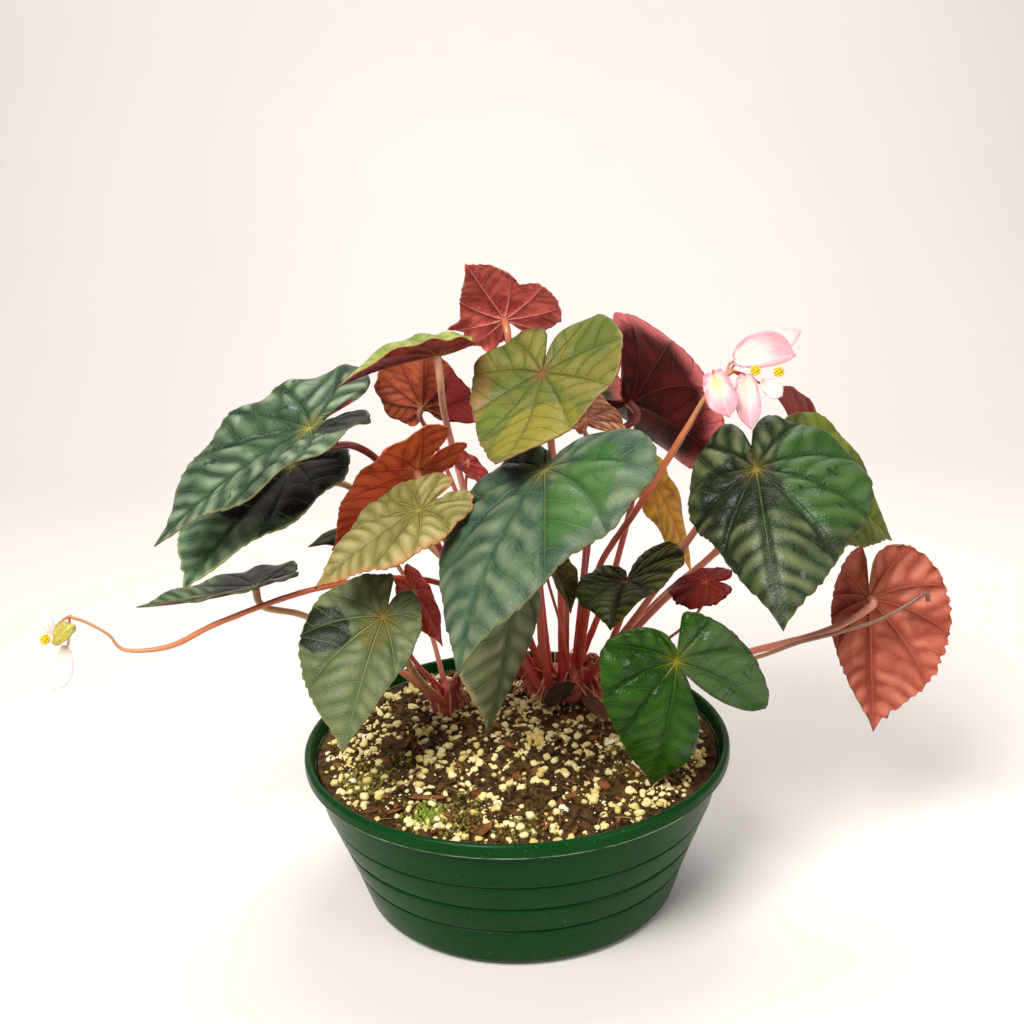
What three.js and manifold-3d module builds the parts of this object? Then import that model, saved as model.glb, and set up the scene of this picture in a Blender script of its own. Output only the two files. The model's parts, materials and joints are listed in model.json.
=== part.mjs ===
// A begonia in a round plastic pot, in millimetres, +Z up.
// The origin is the centre of the pot's underside, and -Y is the front.
import * as THREE from 'three';
import { mergeVertices } from 'three/addons/utils/BufferGeometryUtils.js';
import Module from 'manifold-3d';

const wasm = await Module();
wasm.setup();

// Driving dimensions
const potHeight = 77;
const potRimRadius = 101.6;
const potBaseRadius = 75.8;
const potFloor = 2.4;
const potSides = 36;
const clearance = 0.3;
const soilEdgeHeight = 71;
const soilCrestHeight = 79;
const soilReach = 96;
const clodHeight = 1.7;
const clodSpan = 13;
const clodSteps = 24;
const bladeThickness = 0.8;
const petioleSides = 6;
const petioleStep = 28;
const petioleEndGap = 0.8;
const notchShare = 0.04;
const arcSteps = 24;
const drainCount = 6;
const drainRadius = 4.5;
const drainCircle = 58;
const crownTop = 82;
const grainCount = 42;
const stipuleCount = 9;

const degree = Math.PI / 180;
const vec = (p) => new THREE.Vector3(...p);

// A repeatable stream of numbers between 0 and 1
function randomStream(seed) {
  let state = seed;
  return () => {
    state = (state * 16807) % 2147483647;
    return state / 2147483647;
  };
}

// ---- Solids: closed three.js geometry joined or cut ----

function solid(geometry) {
  const bare = geometry.clone();
  for (const name of Object.keys(bare.attributes)) {
    if (name !== 'position') bare.deleteAttribute(name);
  }
  const merged = mergeVertices(bare, 1e-4);
  const mesh = new wasm.Mesh({
    numProp: 3,
    vertProperties: new Float32Array(merged.attributes.position.array),
    triVerts: new Uint32Array(merged.index.array),
  });
  return new wasm.Manifold(mesh);
}

function geometryOf(body) {
  const mesh = body.getMesh();
  const geometry = new THREE.BufferGeometry();
  geometry.setAttribute('position', new THREE.BufferAttribute(mesh.vertProperties, 3));
  geometry.setIndex(new THREE.BufferAttribute(mesh.triVerts, 1));
  geometry.computeVertexNormals();
  return geometry;
}

function joined(geometries) {
  return geometries.map(solid).reduce((sum, next) => sum.add(next));
}

function material(color, roughness) {
  return new THREE.MeshStandardMaterial({ color, roughness, metalness: 0 });
}

function named(name, geometry, look) {
  const mesh = new THREE.Mesh(geometry, look);
  mesh.name = name;
  return mesh;
}

// A round stem along a smooth curve through the points
function stem(points, radius, step = petioleStep) {
  const path = new THREE.CatmullRomCurve3(points);
  const section = new THREE.Shape();
  for (let i = 0; i < petioleSides; i++) {
    const turn = (2 * Math.PI * i) / petioleSides;
    const x = radius * Math.cos(turn);
    const y = radius * Math.sin(turn);
    if (i === 0) section.moveTo(x, y);
    else section.lineTo(x, y);
  }
  const steps = Math.max(3, Math.round(path.getLength() / step));
  return new THREE.ExtrudeGeometry(section, { steps, extrudePath: path, curveSegments: 1 });
}

// A squashed ball
function ball(centre, size, widthSegments = 8, heightSegments = 6) {
  const geometry = new THREE.SphereGeometry(1, widthSegments, heightSegments);
  geometry.scale(...size);
  geometry.translate(...centre);
  return geometry;
}

// ---- Leaf blades ----
// hub: where the petiole meets the blade. heading: the way the midrib points, in degrees from +Y towards +X.
// pitch: its rise. roll: the turn about the midrib. length: from the hub to the tip.
// Pairs are the right and the left half, seen on the upper face with the tip away:
// wide: half width, widest: how far along the midrib that is, lobe: how far the back lobe reaches behind
// the hub, lobeAt: its distance from the midrib, belly: fullness of the flank, fold: rise off the midrib.
// bumps: [angle from the midrib, spread, share] swellings and bays of the edge.
// bend: curl of the midrib, cup: curl across, wave: height of the ripples of the edge.
// root and via: the points that the petiole passes.
const leaves = [
  { name: 'leaf_top_red', hub: [1, 34, 272], heading: -145, pitch: 45, roll: 35, length: 41,
    wide: [19, 28], widest: [4, 5], lobe: [16, 17], lobeAt: [9, 15], belly: [0.4, 0.6],
    bumps: [[62, 8, 0.35], [95, 14, 0.15], [150, 12, -0.15], [-45, 12, -0.25]], bend: 0, fold: [-5, -5], cup: -20,
    wave: 1.5,
    color: 0xa84a4c, root: [18, 50, 84], via: [[10, 46, 190]] },
  { name: 'leaf_top_lime', hub: [17, -5, 253], heading: -165, pitch: -45, roll: 10, length: 72,
    wide: [37, 44], widest: [-6, 3], lobe: [27, 26], lobeAt: [6, 18], belly: [0.4, 0.4],
    bumps: [], bend: 50, fold: [-15, 5], cup: 40, wave: 1.5,
    color: 0x9aa043, root: [26, 50, 86], via: [[27, 40, 150], [20, 10, 226]] },
  { name: 'leaf_maroon_back', hub: [58, 34, 231], heading: 40, pitch: -20, roll: -50, length: 76,
    wide: [46, 66], widest: [6, 10], lobe: [23, 20], lobeAt: [32, 30], belly: [0.4, 0.6],
    bumps: [], bend: -60, fold: [5, 15], cup: 150, wave: 1,
    color: 0x4a2226, root: [34, 52, 84], via: [[38, 48, 150], [50, 38, 210]] },
  { name: 'leaf_level_left', hub: [-29, -5, 263], heading: -100, pitch: -5, roll: 5, length: 46,
    wide: [19, 19], widest: [6, 6], lobe: [18, 17], lobeAt: [9, 8], belly: [0.55, 0.5],
    bumps: [], bend: -20, fold: [25, 25], cup: 5, wave: 0.8,
    color: 0x6f7c48, root: [12, 44, 84], via: [[-11, 42, 142], [-24, 30, 205], [-28, 10, 236]] },
  { name: 'leaf_far_left_upper', hub: [-88, 2, 230], heading: -120, pitch: -20, roll: -5, length: 86,
    wide: [41, 45], widest: [8, 12], lobe: [42, 21], lobeAt: [20, 21], belly: [0.5, 0.65],
    bumps: [], bend: -15, fold: [5, 5], cup: 30, wave: 2,
    color: 0x55695a, root: [8, 46, 82], via: [[-30, 44, 148], [-52, 30, 196], [-70, 6, 221]] },
  { name: 'leaf_far_left_lower', hub: [-101, 25, 207], heading: -140, pitch: -25, roll: 5, length: 81,
    wide: [44, 41], widest: [13, 10], lobe: [16, 16], lobeAt: [20, 19], belly: [0.6, 0.55],
    bumps: [], bend: -10, fold: [15, 10], cup: -35, wave: 1.5,
    color: 0x3f5142, root: [10, 52, 82], via: [[-30, 64, 140], [-80, 56, 188]] },
  { name: 'leaf_low_left', hub: [-120, 5, 155], heading: -105, pitch: -10, roll: 10, length: 55,
    wide: [28, 28], widest: [9, 7], lobe: [22, 21], lobeAt: [13, 13], belly: [0.6, 0.5],
    bumps: [], bend: 15, fold: [10, 10], cup: -5, wave: 1,
    color: 0x53684a, root: [-38, 32, 80], via: [[-66, 26, 108], [-100, 14, 136]] },
  { name: 'leaf_round_rust', hub: [-39, 38, 231], heading: 170, pitch: 65, roll: -30, length: 36,
    wide: [26, 29], widest: [5, 3], lobe: [15, 5], lobeAt: [10, 14], belly: [0.5, 0.55],
    bumps: [], bend: 5, fold: [10, 5], cup: -20, wave: 1,
    color: 0x9c4c34, root: [16, 54, 84], via: [[-10, 56, 140], [-34, 48, 208]] },
  { name: 'leaf_rust_left', hub: [-41, 0, 210], heading: -70, pitch: -40, roll: 35, length: 62,
    wide: [19, 26], widest: [7, 4], lobe: [24, 30], lobeAt: [9, 11], belly: [0.5, 0.5],
    bumps: [], bend: -5, fold: [10, 0], cup: -10, wave: 1,
    color: 0xa14a33, root: [10, 40, 84], via: [[-6, 36, 121], [-34, 14, 190]] },
  { name: 'leaf_young_left', hub: [-20, 21, 206], heading: 85, pitch: -40, roll: -160, length: 19,
    wide: [10, 10], widest: [3, 2], lobe: [7, 7], lobeAt: [4, 4], belly: [0.55, 0.5],
    bumps: [], bend: 0, fold: [0, -5], cup: -25, wave: 0.5,
    color: 0xa24443, root: [18, 42, 86], via: [[-8, 34, 140], [-20, 22, 192]] },
  { name: 'leaf_pale_left', hub: [-38, -35, 201], heading: -110, pitch: -25, roll: -10, length: 56,
    wide: [27, 29], widest: [6, 9], lobe: [21, 22], lobeAt: [9, 12], belly: [0.4, 0.45],
    bumps: [], bend: -10, fold: [5, 5], cup: -15, wave: 1,
    color: 0xa3a26a, root: [14, 36, 82], via: [[3, 30, 105], [-30, -12, 182]] },
  { name: 'leaf_grey_front_left', hub: [-56, -40, 155], heading: -155, pitch: -40, roll: -10, length: 62,
    wide: [34, 19], widest: [9, 7], lobe: [21, 15], lobeAt: [4, 6], belly: [0.6, 0.35],
    bumps: [], bend: -25, fold: [5, 5], cup: -15, wave: 1.2,
    color: 0x6d7a5c, root: [-34, 26, 80], via: [[-46, 6, 104], [-54, -18, 136]] },
  { name: 'leaf_young_low', hub: [-45, -5, 153], heading: 90, pitch: -60, roll: 20, length: 31,
    wide: [15, 15], widest: [4, 4], lobe: [12, 12], lobeAt: [7, 7], belly: [0.5, 0.5],
    bumps: [], bend: -15, fold: [5, 0], cup: -15, wave: 0.6,
    color: 0xa13e31, root: [-32, 30, 82], via: [[-50, 16, 112], [-56, 4, 142]] },
  { name: 'leaf_big_centre', hub: [16, -50, 221], heading: -140, pitch: -30, roll: 10, length: 96,
    wide: [48, 53], widest: [12, 3], lobe: [18, 27], lobeAt: [25, 27], belly: [0.5, 0.35],
    bumps: [], bend: -35, fold: [0, 5], cup: -45, wave: 1.5,
    color: 0x4f7358, root: [24, 36, 84], via: [[24, 30, 120], [24, 16, 180]] },
  { name: 'leaf_grey_hanging', hub: [1, -25, 174], heading: -160, pitch: -75, roll: -65, length: 82,
    wide: [34, 21], widest: [13, 11], lobe: [16, 16], lobeAt: [12, 8], belly: [0.6, 0.55],
    bumps: [], bend: -15, fold: [0, 0], cup: -25, wave: 1,
    color: 0x5f6e58, root: [18, 34, 82], via: [[14, 20, 112], [10, -6, 156]] },
  { name: 'leaf_dark_small', hub: [52, -15, 158], heading: -165, pitch: -5, roll: 10, length: 43,
    wide: [22, 30], widest: [5, 4], lobe: [17, 29], lobeAt: [9, 12], belly: [0.5, 0.45],
    bumps: [], bend: -5, fold: [10, 20], cup: -10, wave: 1,
    color: 0x3c3a22, root: [34, 40, 82], via: [[45, 24, 106], [52, -4, 140]] },
  { name: 'leaf_dark_young', hub: [19, 0, 162], heading: 145, pitch: -40, roll: -25, length: 25,
    wide: [12, 13], widest: [3, 3], lobe: [9, 9], lobeAt: [5, 6], belly: [0.5, 0.45],
    bumps: [], bend: -20, fold: [15, 15], cup: 5, wave: 0.5,
    color: 0x2c2f22, root: [28, 40, 84], via: [[24, 22, 120]] },
  { name: 'leaf_lobed_front', hub: [69, -60, 138], heading: -155, pitch: -75, roll: -35, length: 65,
    wide: [34, 42], widest: [0, 12], lobe: [14, 22], lobeAt: [15, 3], belly: [0.45, 0.45],
    bumps: [[-40, 14, -0.85], [-65, 12, 0.15]], bend: -40, fold: [0, -5], cup: 0, wave: 1,
    color: 0x3a6a34, root: [40, 42, 80], via: [[54, 18, 96], [66, -30, 124]] },
  { name: 'leaf_big_right', hub: [109, -20, 210], heading: 180, pitch: -35, roll: 10, length: 77,
    wide: [36, 51], widest: [10, 10], lobe: [31, 30], lobeAt: [12, 11], belly: [0.1, 0.35],
    bumps: [], bend: -30, fold: [-20, -5], cup: -30, wave: 2,
    color: 0x45593c, root: [38, 46, 84], via: [[64, 36, 124], [98, 4, 190]] },
  { name: 'leaf_behind_right', hub: [136, 15, 200], heading: 80, pitch: -30, roll: 40, length: 70,
    wide: [35, 36], widest: [8, 8], lobe: [20, 16], lobeAt: [12, 10], belly: [0.5, 0.45],
    bumps: [], bend: -25, fold: [5, 10], cup: -10, wave: 1,
    color: 0x66753f, root: [42, 50, 82], via: [[64, 46, 112], [121, 30, 176]] },
  { name: 'leaf_young_behind_right', hub: [154, 62, 199], heading: -20, pitch: 35, roll: 70, length: 44,
    wide: [22, 25], widest: [5, 8], lobe: [11, 11], lobeAt: [10, 11], belly: [0.5, 0.55],
    bumps: [], bend: -15, fold: [15, 5], cup: -10, wave: 0.8,
    color: 0x7d3a34, root: [40, 54, 82], via: [[76, 64, 118], [142, 72, 172]] },
  { name: 'leaf_pink_far_right', hub: [166, -5, 142], heading: 135, pitch: -85, roll: -130, length: 69,
    wide: [37, 18], widest: [9, 10], lobe: [26, 26], lobeAt: [13, 3], belly: [0.7, 0.45],
    bumps: [], bend: 5, fold: [0, 5], cup: -15, wave: 1,
    color: 0xa65a4c, root: [42, 40, 80], via: [[72, 26, 94], [115, 6, 113], [149, -6, 128]] },
  { name: 'leaf_young_toothed', hub: [91, 0, 151], heading: -65, pitch: -10, roll: -30, length: 23,
    wide: [14, 17], widest: [3, 3], lobe: [12, 14], lobeAt: [6, 7], belly: [0.5, 0.55],
    bumps: [], bend: -20, fold: [-10, 10], cup: -25, wave: 0.8,
    color: 0x7c2c22, root: [42, 46, 82], via: [[70, 30, 106], [88, 6, 134]] },
  { name: 'leaf_amber_back', hub: [69, 45, 192], heading: 95, pitch: -60, roll: 25, length: 58,
    wide: [21, 19], widest: [6, 7], lobe: [22, 22], lobeAt: [9, 9], belly: [0.45, 0.5],
    bumps: [], bend: -20, fold: [5, 0], cup: -20, wave: 1,
    color: 0x8c6429, root: [32, 56, 84], via: [[50, 56, 130], [62, 56, 176]] },
  { name: 'leaf_orange_back', hub: [36, 2, 230], heading: -20, pitch: 25, roll: 0, length: 34,
    wide: [20, 9], widest: [4, 4], lobe: [12, 8], lobeAt: [10, 5], belly: [0.55, 0.5],
    bumps: [], bend: 10, fold: [5, 0], cup: -50, wave: 1,
    color: 0x9a5230, root: [30, 46, 86], via: [[36, 36, 150], [40, 20, 210]] },
  { name: 'leaf_dark_tip_left', hub: [-72, 44, 173], heading: -100, pitch: -20, roll: -5, length: 30,
    wide: [15, 16], widest: [4, 4], lobe: [11, 11], lobeAt: [7, 7], belly: [0.5, 0.5],
    bumps: [], bend: 0, fold: [-5, 0], cup: -25, wave: 0.6,
    color: 0x3b3a2c, root: [-34, 36, 80], via: [[-46, 56, 120], [-64, 56, 156]] },
];

// Petals, dead blades and other small blades, each on a stalk of its own from a longer stalk or the crown
const petals = [
  { name: 'bloom_right_tepal_top', hub: [103, -4, 256], heading: 94, pitch: 3, roll: 75, length: 26,
    wide: [4, 12], widest: [10, 12], lobe: [2, 2], lobeAt: [1.5, 2], belly: [0.8, 0.85],
    bumps: [], bend: -10, fold: [4, 4], cup: 40, wave: 0.6,
    color: 0xf2c4c8, root: [98, -4, 248], via: [[100, -1, 254]] },
  { name: 'bloom_right_tepal_back', hub: [112, 3, 259], heading: 85, pitch: 20, roll: 70, length: 22,
    wide: [5, 5], widest: [12, 12], lobe: [2, 2], lobeAt: [1.5, 1.5], belly: [0.8, 0.8],
    bumps: [], bend: 10, fold: [0, 0], cup: 20, wave: 0.4,
    color: 0xf4d2d0, root: [98, -4, 248], via: [[104, 3, 254]] },
  { name: 'bloom_right_tepal_low', hub: [114, -6, 246], heading: 92, pitch: -36, roll: 66, length: 11,
    wide: [4, 4], widest: [6, 6], lobe: [1, 1], lobeAt: [1, 1], belly: [0.8, 0.8],
    bumps: [], bend: 0, fold: [0, 0], cup: 30, wave: 0.2,
    color: 0xfaf3ea, root: [101, -3, 251], via: [[108, 0, 248]] },
  { name: 'bloom_right_tepal_left', hub: [92, -11, 249], heading: 130, pitch: -68, roll: 40, length: 18,
    wide: [7, 7], widest: [9, 9], lobe: [4, 4], lobeAt: [3, 3], belly: [0.7, 0.7],
    bumps: [], bend: 20, fold: [8, 8], cup: -40, wave: 0.5,
    color: 0xf3c6cb, root: [94, -5, 247], via: [[92, -6, 252]] },
  { name: 'bloom_right_tepal_mid', hub: [106, -6, 248], heading: 165, pitch: -80, roll: 0, length: 23,
    wide: [7, 6], widest: [10, 10], lobe: [2, 2], lobeAt: [2, 2], belly: [0.75, 0.75],
    bumps: [], bend: 20, fold: [10, 10], cup: 30, wave: 0.4,
    color: 0xf2b9c2, root: [101, -3, 251], via: [[104, -1, 249]] },
  { name: 'bloom_left_tepal_up', hub: [-213, -6, 140], heading: -90, pitch: 60, roll: -80, length: 9,
    wide: [3, 3], widest: [5, 5], lobe: [1, 1], lobeAt: [1, 1], belly: [0.8, 0.8],
    bumps: [], bend: 0, fold: [0, 0], cup: 20, wave: 0.2,
    color: 0xf6f2ea, root: [-205, -5, 147], via: [[-210, -3, 144]] },
  { name: 'bloom_left_tepal_low', hub: [-209, -6, 132], heading: -90, pitch: -72, roll: -80, length: 22,
    wide: [2, 7], widest: [10, 11], lobe: [1, 1], lobeAt: [1, 1], belly: [0.8, 0.8],
    bumps: [], bend: 15, fold: [8, 8], cup: 20, wave: 0.4,
    color: 0xf7f4ee, root: [-205, -5, 147], via: [[-207, -3, 139]] },
  { name: 'dead_leaf', hub: [20, 16, 84], heading: 70, pitch: 12, roll: -55, length: 17,
    wide: [10, 9], widest: [4, 4], lobe: [6, 6], lobeAt: [4, 4], belly: [0.8, 0.8],
    bumps: [], bend: 60, fold: [20, 20], cup: 110, wave: 0.6,
    color: 0x3b2a1c, root: [22, 30, 83], via: [[20, 22, 81]] },
  { name: 'dead_strap', hub: [35, 20, 85], heading: 150, pitch: -8, roll: 10, length: 20,
    wide: [4, 4], widest: [7, 7], lobe: [1, 1], lobeAt: [1, 1], belly: [0.8, 0.8],
    bumps: [], bend: -20, fold: [0, 0], cup: 30, wave: 0.4,
    color: 0x5a3f22, root: [36, 30, 82], via: [[36, 25, 81]] },
];

// A point of a cubic Bezier curve in the plane
function bezier(a, b, c, d, t) {
  const s = 1 - t;
  return [0, 1].map((k) => s * s * s * a[k] + 3 * s * s * t * b[k] + 3 * s * t * t * c[k] + t * t * t * d[k]);
}

// One half of the outline from the tip round to the notch behind the hub, as angle and reach
function halfOutline(leaf, half) {
  const tip = leaf.length;
  const wide = leaf.wide[half];
  const at = leaf.widest[half];
  const back = -leaf.lobe[half];
  const side = leaf.lobeAt[half];
  const rest = tip - at;
  const arcs = [
    [[0, tip], [0.16 * wide, tip - 0.2 * rest], [wide, at + leaf.belly[half] * rest], [wide, at]],
    [[wide, at], [wide, at - 0.55 * (at - back)], [side + 0.32 * wide, back], [side, back]],
    [[side, back], [Math.max(0.5, side - 0.3 * wide), back], [0.04 * wide, 0.55 * back],
      [0, -notchShare * tip]],
  ];
  const points = [];
  for (const arc of arcs) {
    for (let i = 0; i < arcSteps; i++) points.push(bezier(...arc, i / arcSteps));
  }
  return points.map(([x, y]) => ({ angle: Math.atan2(x, y), reach: Math.hypot(x, y) }));
}

// How far the edge lies from the hub at an angle from the midrib
function reachAt(leaf, outlines, angle) {
  const half = angle >= 0 ? 0 : 1;
  const outline = outlines[half];
  const turn = Math.abs(angle);
  let reach = 0;
  for (let i = 0; i + 1 < outline.length; i++) {
    const [a, b] = [outline[i], outline[i + 1]];
    if ((a.angle - turn) * (b.angle - turn) > 0 || a.angle === b.angle) continue;
    const share = (turn - a.angle) / (b.angle - a.angle);
    reach = Math.max(reach, a.reach + share * (b.reach - a.reach));
  }
  if (reach === 0) reach = outline[outline.length - 1].reach;
  let swell = 1;
  for (const [where, spread, share] of leaf.bumps) {
    const off = ((angle / degree - where + 540) % 360) - 180;
    swell += share * Math.exp(-((off / spread) ** 2));
  }
  return reach * swell;
}

// The flat blade bent to its shape: u across, v along the midrib, both in mm
function bent(leaf, u, v) {
  const across = leaf.cup * degree / leaf.length || 1e-6;
  const along = v > 0 ? leaf.bend * degree / leaf.length || 1e-6 : 1e-6;
  const fold = leaf.fold[u > 0 ? 0 : 1] * degree;
  const x0 = Math.sin(across * Math.abs(u)) / across;
  const h0 = (1 - Math.cos(across * Math.abs(u))) / across;
  const x = x0 * Math.cos(fold) - h0 * Math.sin(fold);
  const h = x0 * Math.sin(fold) + h0 * Math.cos(fold);
  return new THREE.Vector3(
    Math.sign(u) * x,
    Math.sin(along * v) / along - h * Math.sin(along * v),
    (1 - Math.cos(along * v)) / along + h * Math.cos(along * v),
  );
}

// A point of the middle surface at an angle and a share of the reach
function bladePoint(leaf, edge, share) {
  const u = edge.reach * share * Math.sin(edge.angle);
  const v = edge.reach * share * Math.cos(edge.angle);
  const point = bent(leaf, u, v);
  point.z += leaf.wave * share ** 3 * Math.sin(9 * edge.angle + leaf.length);
  return point;
}

// How finely a blade is split, and its petiole, by the blade's length
const bladeSizes = [
  { over: 59, spokes: 22, rings: [0.3, 0.6, 0.84, 1], petiole: 1.8, approach: 9 },
  { over: 40, spokes: 18, rings: [0.36, 0.72, 1], petiole: 1.8, approach: 9 },
  { over: 25, spokes: 16, rings: [0.36, 0.72, 1], petiole: 1.3, approach: 5 },
  { over: 0, spokes: 12, rings: [0.55, 1], petiole: 0.9, approach: 3 },
];

// A thin closed blade: spokes from the hub to the edge, and the same triangles on both faces
function blade(leaf) {
  const { spokes, rings } = bladeSizes.find((size) => leaf.length > size.over);
  const outlines = [halfOutline(leaf, 0), halfOutline(leaf, 1)];
  const edges = [];
  for (let i = 0; i < spokes; i++) {
    const angle = Math.PI * (2 * (i + 0.5) / spokes - 1) * 0.985 + 1e-9;
    const tooth = i % 2 === 0 ? 1.012 : 0.988;
    edges.push({ angle, reach: reachAt(leaf, outlines, angle) * tooth });
  }
  edges.push({ angle: Math.PI, reach: notchShare * leaf.length });
  const tip = edges.findIndex((edge) => edge.angle > 0);
  edges.splice(tip, 0, { angle: 1e-9, reach: leaf.length });
  const count = edges.length;

  const middle = [bent(leaf, 0, 0)];
  for (const share of rings) {
    for (const edge of edges) middle.push(bladePoint(leaf, edge, share));
  }
  const triangles = [];
  const at = (ring, i) => 1 + ring * count + (i % count);
  for (let i = 0; i < count; i++) {
    triangles.push([0, at(0, i + 1), at(0, i)]);
    for (let ring = 0; ring + 1 < rings.length; ring++) {
      const [a, b, c, d] = [at(ring, i), at(ring, i + 1), at(ring + 1, i + 1), at(ring + 1, i)];
      triangles.push([a, b, c], [a, c, d]);
    }
  }
  // the normal of the middle surface at each point sets the two faces apart
  const normals = middle.map(() => new THREE.Vector3());
  for (const triangle of triangles) {
    const [a, b, c] = triangle.map((i) => middle[i]);
    const normal = b.clone().sub(a).cross(c.clone().sub(a));
    for (const i of triangle) normals[i].add(normal);
  }
  const positions = [];
  for (const side of [0.5, -0.5]) {
    middle.forEach((point, i) => {
      const lift = normals[i].clone().normalize().multiplyScalar(side * bladeThickness);
      positions.push(...point.clone().add(lift).toArray());
    });
  }
  const index = [];
  const under = middle.length;
  for (const [a, b, c] of triangles) index.push(a, b, c, under + a, under + c, under + b);
  const last = rings.length - 1;
  for (let i = 0; i < count; i++) {
    const [a, b] = [at(last, i), at(last, i + 1)];
    index.push(a, b, under + b, a, under + b, under + a);
  }
  const geometry = new THREE.BufferGeometry();
  geometry.setAttribute('position', new THREE.Float32BufferAttribute(positions, 3));
  geometry.setIndex(index);
  geometry.computeVertexNormals();
  return geometry;
}

function leafTurn(leaf) {
  return new THREE.Euler(leaf.pitch * degree, leaf.roll * degree, -leaf.heading * degree, 'ZXY');
}

function leafMesh(leaf) {
  const mesh = named(leaf.name, blade(leaf), material(leaf.color, 0.5));
  mesh.position.set(...leaf.hub);
  mesh.rotation.copy(leafTurn(leaf));
  return mesh;
}

// The leaf stalk: out of the crown, through its points, up to the underside of the blade
function petiole(leaf) {
  const down = new THREE.Vector3(0, 0, -1).applyEuler(leafTurn(leaf));
  const hub = vec(leaf.hub);
  const end = hub.clone().addScaledVector(down, bladeThickness / 2 + petioleEndGap);
  const size = bladeSizes.find((each) => leaf.length > each.over);
  const before = hub.clone().addScaledVector(down, size.approach);
  return stem([vec(leaf.root), ...leaf.via.map(vec), before, end], size.petiole);
}

// ---- Pot ----

function pot() {
  const outside = [
    [0, 0], [71, 0], [potBaseRadius, 2.6],
    [81.8, 21.6], [80.9, 22.4], [82.6, 23.4],
    [86.9, 35.4], [86.0, 36.8], [88.0, 38.0],
    [92.4, 50.0], [91.7, 50.9], [93.5, 52.0],
    [98.3, 70.2], [101.2, 70.4], [potRimRadius, 71.4], [potRimRadius, 75.6],
    [100.6, potHeight], [98.8, 76.8], [98.0, 75.0],
  ];
  const inside = [[96.2, 70], [72.6, potFloor], [0, potFloor]];
  const profile = [...outside, ...inside].map(([r, z]) => new THREE.Vector2(r, z));
  const wall = new THREE.LatheGeometry(profile, potSides);
  wall.rotateX(Math.PI / 2);
  let body = solid(wall);
  for (let i = 0; i < drainCount; i++) {
    const turn = (2 * Math.PI * i) / drainCount;
    const drain = new THREE.CylinderGeometry(drainRadius, drainRadius, 12, 12);
    drain.rotateX(Math.PI / 2);
    drain.translate(drainCircle * Math.cos(turn), drainCircle * Math.sin(turn), 0);
    body = body.subtract(solid(drain));
  }
  return named('pot', geometryOf(body), material(0x1f5a34, 0.35));
}

// ---- Soil ----

const mainCrown = { x: 26, y: 46, radius: 21, floor: 60 };
const leftCrown = { x: -35, y: 30, radius: 8, floor: 64 };

function upright(radius, bottom, top, sides) {
  const geometry = new THREE.CylinderGeometry(radius, radius, top - bottom, sides);
  geometry.rotateX(Math.PI / 2);
  geometry.translate(0, 0, (top + bottom) / 2);
  return geometry;
}

// Height of the potting mix at a distance from the pot's axis
function soilHeight(r) {
  const share = Math.min(1, r / soilReach);
  return soilCrestHeight - (soilCrestHeight - soilEdgeHeight) * share * share;
}

// Rise and fall of the clods at a place on the potting mix
function clodRise(x, y) {
  const turn = (2 * Math.PI) / clodSpan;
  const ripple = Math.sin(turn * x + 1.4 * Math.sin(0.37 * turn * y)) *
    Math.cos(0.9 * turn * y + 1.2 * Math.sin(0.3 * turn * x));
  const fade = Math.max(0, Math.min(1, 0.15 + (soilReach - Math.hypot(x, y)) / 8));
  return clodHeight * ripple * fade;
}

// Perlite grains and bark chips half sunk in the surface, the largest ones only: place, reach and turn
function grains() {
  const placed = [];
  for (let i = 0; i < grainCount; i++) {
    const r = 88 * Math.sqrt((i + 0.5) / grainCount);
    const turn = 2.4 * i;
    const [x, y] = [r * Math.cos(turn), r * Math.sin(turn)];
    const reach = 2.4 + 1.9 * ((0.618 * i) % 1);
    const clear = [mainCrown, leftCrown].every(
      (crown) => Math.hypot(x - crown.x, y - crown.y) > crown.radius + reach + 1.5);
    const underLeaf = Math.hypot(x + 80, y + 45) < 12 || Math.hypot(x - 56, y + 66) < 22;
    if (clear && !underLeaf) placed.push({ x, y, reach, turn });
  }
  return placed;
}

function soil() {
  const side = 2 * soilReach;
  const block = new THREE.BoxGeometry(side, side, 90, clodSteps, clodSteps, 1);
  const places = block.attributes.position;
  for (let i = 0; i < places.count; i++) {
    const [x, y] = [places.getX(i), places.getY(i)];
    const top = soilHeight(Math.hypot(x, y)) + clodRise(x, y);
    places.setZ(i, places.getZ(i) > 0 ? top : -10);
  }
  const outline = [[0, potFloor + clearance], [72.2, potFloor + clearance], [95.8, soilEdgeHeight],
    [95.8, 90], [0, 90]];
  const inside = new THREE.LatheGeometry(outline.map(([r, z]) => new THREE.Vector2(r, z)), potSides);
  inside.rotateX(Math.PI / 2);
  let body = solid(block).intersect(solid(inside));
  for (const crown of [mainCrown, leftCrown]) {
    const hole = upright(crown.radius + clearance, crown.floor, 100, 20);
    hole.translate(crown.x, crown.y, 0);
    body = body.subtract(solid(hole));
  }
  for (const { x, y, reach, turn } of grains()) {
    const grain = new THREE.OctahedronGeometry(reach, 0);
    grain.rotateZ(turn);
    grain.scale(1, 0.85, 0.7);
    grain.translate(x, y, soilHeight(Math.hypot(x, y)) + clodRise(x, y));
    body = body.add(solid(grain));
  }
  return named('soil', geometryOf(body), material(0x3d3022, 0.95));
}

// ---- Crowns: the creeping stem with every leaf stalk and flower stalk that grows from it ----

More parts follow.
